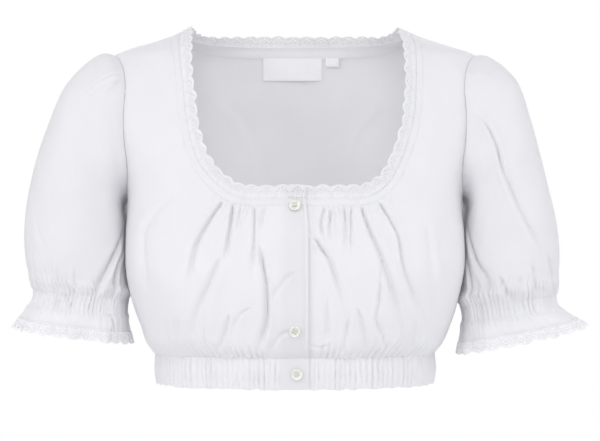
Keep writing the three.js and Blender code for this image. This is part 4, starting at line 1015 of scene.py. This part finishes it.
def lace_strip(name, replaced, places, directions, normals, width, closed, cut, seed, rests):
    """Eyelet lace along an edge: where it starts, which way it runs from there, and the outward side."""
    if closed:
        places, directions, normals = (np.concatenate([a, a[:1]]) for a in (places, directions, normals))
    run = run_along(places)
    repeats = round(run[-1] / LACE_PITCH)
    flat, faces, worked = lace_repeat(width)
    along = np.concatenate([flat[:, 0] + LACE_PITCH * k for k in range(repeats)])
    across = np.tile(flat[:, 1], repeats)
    faces = np.concatenate([faces + len(flat) * k for k in range(repeats)])
    length = LACE_PITCH * repeats
    key = np.round(np.column_stack([along % length if closed else along, across]), 3)
    _, first, same = np.unique(key, axis=0, return_index=True, return_inverse=True)
    along, across, faces = along[first], across[first], same.ravel()[faces]
    worked = np.tile(worked, repeats)[first]
    at = along / length * run[-1]
    start, heading, normal = (read_at(at, run, rows) for rows in (places, directions, normals))
    heading, normal = unit(heading), unit(normal)
    lift = unit(normal - heading * (normal * heading).sum(-1, keepdims=True))
    reach = np.clip(across / width, 0, 1.3)
    around = run[-1] if closed else None
    flutter = reach ** 1.5 * (0.8 * wobble(at, 11, seed, around) + 0.35 * wobble(at, 4.5, seed + 1, around))
    tuck = -0.75 * (1 - smooth((across + 1) / 3.2))
    curl = 0.35 * wobble(at, 6, seed + 2, around) * reach
    points = start + heading * (across + curl)[:, None] + lift * (flutter + tuck)[:, None]
    half = vertex_normals(points, faces) * ((0.35 + 0.8 * worked) / 2)[:, None]
    made = make_mesh(name, *wall(points + half, points - half, faces), LACE, np.column_stack([along, across]))
    mark_points(made, "worked", worked)
    finish_piece(made, "lace", replaced, cut=cut, rests=rests)


def neck_lace(right, back, left):
    """The strip of lace from the right front's edge round the back to the left front's edge."""
    places = np.concatenate([right["neck"], back["neck"][1:], left["neck"][-2::-1]])
    normals = np.concatenate([right["normals"], back["normals"][1:], left["normals"][-2::-1]])
    run = run_along(places)
    even = np.linspace(0, run[-1], 640)
    places, normals = read_at(even, run, places), unit(read_at(even, run, normals))
    ahead = unit(np.gradient(places, axis=0))
    share = 2 * np.minimum(even, run[-1] - even) / run[-1]
    lift = np.radians(through(LACE_LIFT, share)[:, 0])[:, None]
    inward = unit(np.cross(ahead, normals)) * np.cos(lift) + normals * np.sin(lift)
    spread = np.exp(-np.linspace(-2, 2, 25) ** 2)
    padded = np.pad(inward, ((12, 12), (0, 0)), mode="edge")
    inward = unit(np.stack([np.convolve(padded[:, k], spread / spread.sum(), "valid") for k in range(3)], -1))
    facing = unit(np.cross(inward, ahead))
    cut, rests = (run[-1] * MM, 0.0145), ["gathered_front_right", "gathered_front_left", "back_panel"]
    lace_strip("neck_eyelet_lace", "neck_lace", places, inward, facing, NECK_LACE, False, cut, 301, rests)


def ruffle_lace(side):
    """The strip of lace round the hem of one sleeve's ruffle."""
    turn = np.arange(300) / 300
    flip = np.array([side, 1, 1])
    hem, edge = (sleeve_surface(side, turn, 0 * turn + share) for share in (RUFFLE_HEM, 0.995))
    ahead = unit(np.roll(hem, -1, 0) - np.roll(hem, 1, 0))
    down = unit(edge - hem)
    outward = unit(np.cross(ahead, down))
    name = "left" if side > 0 else "right"
    cut = (run_along(hem)[-1] * MM, 0.013)
    lace_strip("cuff_eyelet_lace_" + name, "ruffle_lace_" + name, hem * flip, down * flip, outward * flip,
               CUFF_LACE, True, cut, 310 + side, ["puff_sleeve_" + name])


# Inside the back neck


def inside_back(x, down, inset):
    """Places inside the back, by the distance across and the distance down from its neck edge."""
    top = through(BACK_NECK, np.minimum(np.abs(x), 114.9))[:, 0]
    fall = np.linspace(0, 60, 121)
    z = top[:, None] - fall[None, :]
    wide = np.broadcast_to(np.abs(x)[:, None], z.shape)
    angle = angle_across(wide, z, "back")
    surface, outward = torso(angle, z), torso_normal(angle, z)
    surface[..., 0] = wide
    inside = surface - outward * inset
    points = np.stack([read_at(down, run_along(outer), inner) for outer, inner in zip(surface, inside)])
    points[..., 0] = x[:, None]
    return points


def laid_strip(name, x, down, points, thickness, material):
    """A strip of cloth on a grid of places, across and down."""
    uv = np.stack(np.broadcast_arrays(x[:, None], -down[None, :]), -1).reshape(-1, 2)
    walls = shell(points.reshape(-1, 3), grid_faces(len(x) - 1, len(down) - 1), thickness)
    return make_mesh(name, *walls, material, uv)


def neck_facing():
    """The tape inside the back neckline; returns the line of its lower row of stitches."""
    foot = 11.5
    x, down = np.linspace(-109, 109, 151), np.linspace(0.2, foot, 10)
    points = inside_back(x, down, 1.1)
    ripple = 0.16 * gathers(x, 9, 401)[:, None] * np.sin(HALF * (down / foot))[None, :]
    points[..., 1] += 0.25 * np.exp(-((down - 10.2) / 0.7) ** 2) - ripple
    made = laid_strip("neck_facing_tape", x, down, points, TAPE, LIT_TAPE_COTTON)
    finish_piece(made, "cotton", "neck_facing", cut=(0.228, 0.0125), held="laid", rests=["back_panel"])
    return points[:, 8] + np.array([0, -0.35, 0])


def tape_label(name, replaced, middle, width, height):
    """A bare woven label, its ends folded under, hanging below the facing."""
    x = middle + np.linspace(-width / 2, width / 2, 61)
    down = 11.3 + np.linspace(0, height, 21)
    points = inside_back(x, down, 1.9)
    u, v = np.linspace(-1, 1, 61)[:, None], np.linspace(0, 1, 21)[None, :]
    puff = 0.55 * (1 - u ** 8) * np.sin(HALF * np.clip(v, 0, 1)) ** 0.6
    sag = 0.5 * v ** 2 * (1 + 0.3 * np.sin(2.2 * u + 0.6))
    ends = -0.35 * np.exp(-((np.abs(u) - 0.93) / 0.03) ** 2)
    points[..., 1] -= puff + sag + ends
    made = laid_strip(name, x, down, points, LABEL, SATIN)
    cut = (width * MM, max(height * MM, 0.01))
    finish_piece(made, "label", replaced, cut=cut, held="hung", rests=["back_panel"])


# Buttons


# Height of a button's face from its middle to its rim: share of the radius, share of the thickness
BUTTON_FACE = np.array([
    (0, 0.66), (0.5, 0.64), (0.6, 0.68), (0.7, 0.86), (0.78, 0.98), (0.85, 1), (0.92, 0.94), (0.97, 0.8),
    (1, 0.58),
])


def button(name, x, z, tilt, lean):
    """A four-hole button with a dished middle and a rounded rim; returns the strands of its thread bars."""
    radius, thick, hole, spread = 5.75, 2.4, 0.72, 1.25
    turn = np.arange(56) / 56 * FULL
    circle = np.column_stack([np.cos(turn), np.sin(turn)])
    small = circle[::4]
    centres = [(across * spread, up * spread) for across in (-1, 1) for up in (-1, 1)]
    rings = [circle * radius * share for share in (0.985, 0.95, 0.9, 0.85, 0.8, 0.75, 0.7, 0.65, 0.6, 0.55)]
    rings += [small * (hole + 0.14) + centre for centre in centres] + [small * 2.4, circle[::7] * 0.3]
    loops = [circle * radius] + [small * hole + centre for centre in centres]
    holes = [(*centre, hole * 0.95) for centre in centres]
    places, faces = flat_sheet(loops, np.concatenate(rings), holes, 1e-7)
    out = np.hypot(places[:, 0], places[:, 1]) / radius
    top = through(BUTTON_FACE, out)[:, 0] * thick
    for centre in centres:
        top -= 0.16 * np.exp(-((np.hypot(*(places - centre).T) - hole) / 0.12) ** 2)
    under = thick * 0.36 * smooth((out - 0.72) / 0.28)
    angle, level = angle_across(np.array(x), np.array(z), "front"), np.array(z)
    seat, outward = torso(angle, level), torso_normal(angle, level)
    up = unit(np.array([0.0, lean, 1.0]) - outward * outward[2])
    side = np.cross(up, outward)
    side, up = side * math.cos(tilt) + up * math.sin(tilt), up * math.cos(tilt) - side * math.sin(tilt)
    outward = unit(outward + up * lean)

    def placed(across, along, height):
        flat = np.outer(across, side) + np.outer(along, up)
        return seat + outward * 0.45 + flat + np.outer(height, outward)

    outer, inner = placed(*places.T, top), placed(*places.T, under)
    made = make_mesh("shell_" + name, *wall(outer, inner, faces), PEARL)
    mark_points(made, "middle", 1 - smooth((out - 0.35) / 0.3))
    finish_piece(made, "pearl_button", name)
    t = np.linspace(-1, 1, 13)
    height = thick * 0.66 + 0.42 * (1 - np.abs(t) ** 3) - 0.9 * smooth((np.abs(t) - 0.86) / 0.14)
    return [placed(across * spread + shift + 0 * t, t * spread, height)
            for across in (-1, 1) for shift in (-0.16, 0.16)]


def tubes(name, lines, radius, slot, sides=6):
    """Round threads along lines of places, as one piece."""
    points, faces, count = [], [], 0
    turn = np.arange(sides) / sides * FULL
    ends = np.array([[0, 1, 2, 3], [0, 3, 4, 5]])
    for line in lines:
        ahead = unit(np.gradient(line, axis=0))
        across = unit(np.cross(ahead, np.array([0.31, 0.9, 0.27])))
        other = np.cross(ahead, across)
        swing = np.cos(turn)[None, :, None] * across[:, None] + np.sin(turn)[None, :, None] * other[:, None]
        rows = len(line)
        i, j = np.meshgrid(np.arange(rows - 1), np.arange(sides), indexing="ij")
        this, after = i * sides, (j + 1) % sides
        quads = np.stack([this + j, this + sides + j, this + sides + after, this + after], -1).reshape(-1, 4)
        points.append((line[:, None] + radius * swing).reshape(-1, 3))
        faces.append(quads[:, ::-1] + count)
        faces.append(np.concatenate([ends[:, ::-1], ends + (rows - 1) * sides])[:, ::-1] + count)
        count += rows * sides
    finish_piece(make_mesh(name, np.concatenate(points), [np.concatenate(faces)], THREAD), slot)


# Stitches


def stitch_tree(name):
    """Even stitches along the edges of a mesh: resampled to the pitch, a small thread body on each point."""
    tree = bpy.data.node_groups.new(name, "GeometryNodeTree")
    tree.interface.new_socket("Seam lines", in_out="INPUT", socket_type="NodeSocketGeometry")
    for label in ("Stitch pitch", "Stitch length", "Thread width"):
        tree.interface.new_socket(label, in_out="INPUT", socket_type="NodeSocketFloat")
    tree.interface.new_socket("Stitches", in_out="OUTPUT", socket_type="NodeSocketGeometry")
    nodes = tree.nodes
    source, result = nodes.new("NodeGroupInput"), nodes.new("NodeGroupOutput")
    line = nodes.new("GeometryNodeMeshToCurve")
    even = node(nodes, "GeometryNodeResampleCurve", mode="LENGTH")
    body = node(nodes, "GeometryNodeMeshUVSphere", Segments=6, Rings=4, Radius=0.5)
    size = nodes.new("ShaderNodeCombineXYZ")
    shape = nodes.new("GeometryNodeTransform")
    tangent = nodes.new("GeometryNodeInputTangent")
    turn = node(nodes, "FunctionNodeAlignRotationToVector", axis="X")
    spread = nodes.new("GeometryNodeInstanceOnPoints")
    real = nodes.new("GeometryNodeRealizeInstances")
    paint = node(nodes, "GeometryNodeSetMaterial", Material=THREAD)
    join(tree.links, (source, "Seam lines", line, "Mesh"), (line, "Curve", even, "Curve"),
         (source, "Stitch pitch", even, "Length"), (source, "Stitch length", size, "X"),
         (source, "Thread width", size, "Y"), (source, "Thread width", size, "Z"),
         (body, "Mesh", shape, "Geometry"), (size, "Vector", shape, "Scale"),
         (tangent, "Tangent", turn, "Vector"), (even, "Curve", spread, "Points"),
         (shape, "Geometry", spread, "Instance"), (turn, "Rotation", spread, "Rotation"),
         (spread, "Instances", real, "Geometry"), (real, "Geometry", paint, "Geometry"),
         (paint, "Geometry", result, "Stitches"))
    return tree


def stitch_rows(name, tree, lines, slot, pitch=2.6, length=1.9, width=0.42):
    """Rows of stitches along lines of places."""
    points = np.concatenate(lines) * MM
    edges, count = [], 0
    for line in lines:
        edges += [(count + k, count + k + 1) for k in range(len(line) - 1)]
        count += len(line)
    mesh = bpy.data.meshes.new(name + "_lines")
    mesh.from_pydata([tuple(p) for p in points], edges, [])
    carrier = bpy.data.objects.new(name + "_lines", mesh)
    bpy.context.scene.collection.objects.link(carrier)
    modifier = carrier.modifiers.new("stitches", "NODES")
    modifier.node_group = tree
    sizes = {"Stitch pitch": pitch, "Stitch length": length, "Thread width": width}
    for item in tree.interface.items_tree:
        if item.name in sizes:
            modifier[item.identifier] = sizes[item.name] * MM
    graph = bpy.context.evaluated_depsgraph_get()
    plain = bpy.data.meshes.new_from_object(carrier.evaluated_get(graph))
    bpy.data.objects.remove(carrier)
    made = bpy.data.objects.new(name, plain)
    bpy.context.scene.collection.objects.link(made)
    plain.polygons.foreach_set("use_smooth", [True] * len(plain.polygons))
    finish_piece(made, slot)


# The blouse

right, left, back = front_panel(-1), front_panel(1), back_panel()
for side in (-1, 1):
    sleeve(side)
band_end = float(angle_across(np.array(OVERLAP + 0.6), np.array(WAIST_Z), "front"))
waistband("right", -HALF / 2, band_end, stand=(-12, OVERLAP + 9))
waistband("left", -band_end, HALF / 2, lower=True, stand=(-OVERLAP - 9, OVERLAP + 1))
waistband("back", HALF / 2, HALF * 3 / 2)
neck_lace(right, back, left)
for side in (-1, 1):
    ruffle_lace(side)
facing_row = neck_facing()
tape_label("label_tape", "label_main", -2.8, 61, 24.5)
tape_label("size_tape", "label_size", 38.6, 13.5, 9.5)
bars = []
for row in (("button_top", 0, -176.2, 0.25, 0.0), ("button_middle", 0, -295.5, -0.5, 0.16),
            ("button_bottom", 2, -337, 0.1, 0.0)):
    bars += button(*row)
tubes("button_threads", bars, 0.17, "cotton")

seam_stitches = stitch_tree("seam_stitches")
for name, panel in (("right", right), ("left", left)):
    stitch_rows("neck_stitches_" + name, seam_stitches, panel["stitches"], "cotton")
turn = (np.arange(401) / 400) % 1
for name, side in (("right", -1), ("left", 1)):
    flip = np.array([side, 1, 1])
    rows = []
    for share in (ELASTIC_TOP, ELASTIC_FOOT, RUFFLE_HEM - 0.006):
        line = sleeve_surface(side, turn, 0 * turn + share)
        middle = line.mean(0)
        rows.append((line + unit(line - middle) * 0.2) * flip)
    stitch_rows("cuff_stitches_" + name, seam_stitches, rows, "cotton")
edge = right["edge"] + np.array([-1.4, -0.15, 0])
stitch_rows("front_edge_stitches", seam_stitches, [edge], "cotton")
stitch_rows("facing_stitches", seam_stitches, [facing_row], "cotton", pitch=2.4)

# Room and light

FLOOR_Z, FLOOR_REACH = -0.62, 1.6  # metres
LAMPS = (  # name, place, size in metres, watts
    ("left", (-2.2, -2.2, 0.9), 1.0, 18), ("front", (0, -3.2, 0.1), 1.2, 13),
    ("right", (1.5, -2.7, 0.3), 1.4, 8), ("behind", (0, 2.4, 0.9), 1.6, 42),
    ("high", (0, -2.2, 2.0), 1.2, 20), ("side left", (-2.4, -0.2, 0.2), 1.2, 5),
    ("side right", (2.4, -0.2, 0.2), 1.2, 10),
)


def studio():
    """White air to the camera, a softer light on the cloth, a pale floor, and the lamps."""
    scene = bpy.context.scene
    world = bpy.data.worlds.new("studio_air")
    world.use_nodes = True
    air = world.node_tree.nodes
    seen, lit = air["Background"], air.new("ShaderNodeBackground")
    for shader, strength in ((seen, 1.0), (lit, 0.68)):
        shader.inputs["Color"].default_value, shader.inputs["Strength"].default_value = (1, 1, 1, 1), strength
    ray, either = air.new("ShaderNodeLightPath"), air.new("ShaderNodeMixShader")
    join(world.node_tree.links, (ray, "Is Camera Ray", either, "Fac"), (lit, "Background", either, 1),
         (seen, "Background", either, 2), (either, "Shader", air["World Output"], "Surface"))
    scene.world = world
    scene.view_settings.view_transform = "Standard"
    floor_mesh = bpy.data.meshes.new("pale_floor")
    corners = [(x * FLOOR_REACH, y * FLOOR_REACH, FLOOR_Z) for x, y in ((-1, -1), (1, -1), (1, 1), (-1, 1))]
    floor_mesh.from_pydata(corners, [], [(0, 1, 2, 3)])
    floor = bpy.data.objects.new("pale_floor", floor_mesh)
    scene.collection.objects.link(floor)
    paint, _, _, shader = start_material("pale_floor", 0.9)
    shader.inputs["Base Color"].default_value = (0.8, 0.8, 0.81, 1)
    shader.inputs["Emission Color"].default_value = (1, 1, 1, 1)
    shader.inputs["Emission Strength"].default_value = 0.1
    floor_mesh.materials.append(paint)
    for name, place, size, power in LAMPS:
        light = bpy.data.lights.new(name, "AREA")
        light.size, light.energy = size, power
        lamp = bpy.data.objects.new(name, light)
        lamp.location = place
        towards = Vector((0, 0, -0.2)) - Vector(place)
        lamp.rotation_euler = towards.to_track_quat("-Z", "Y").to_euler()
        scene.collection.objects.link(lamp)


studio()
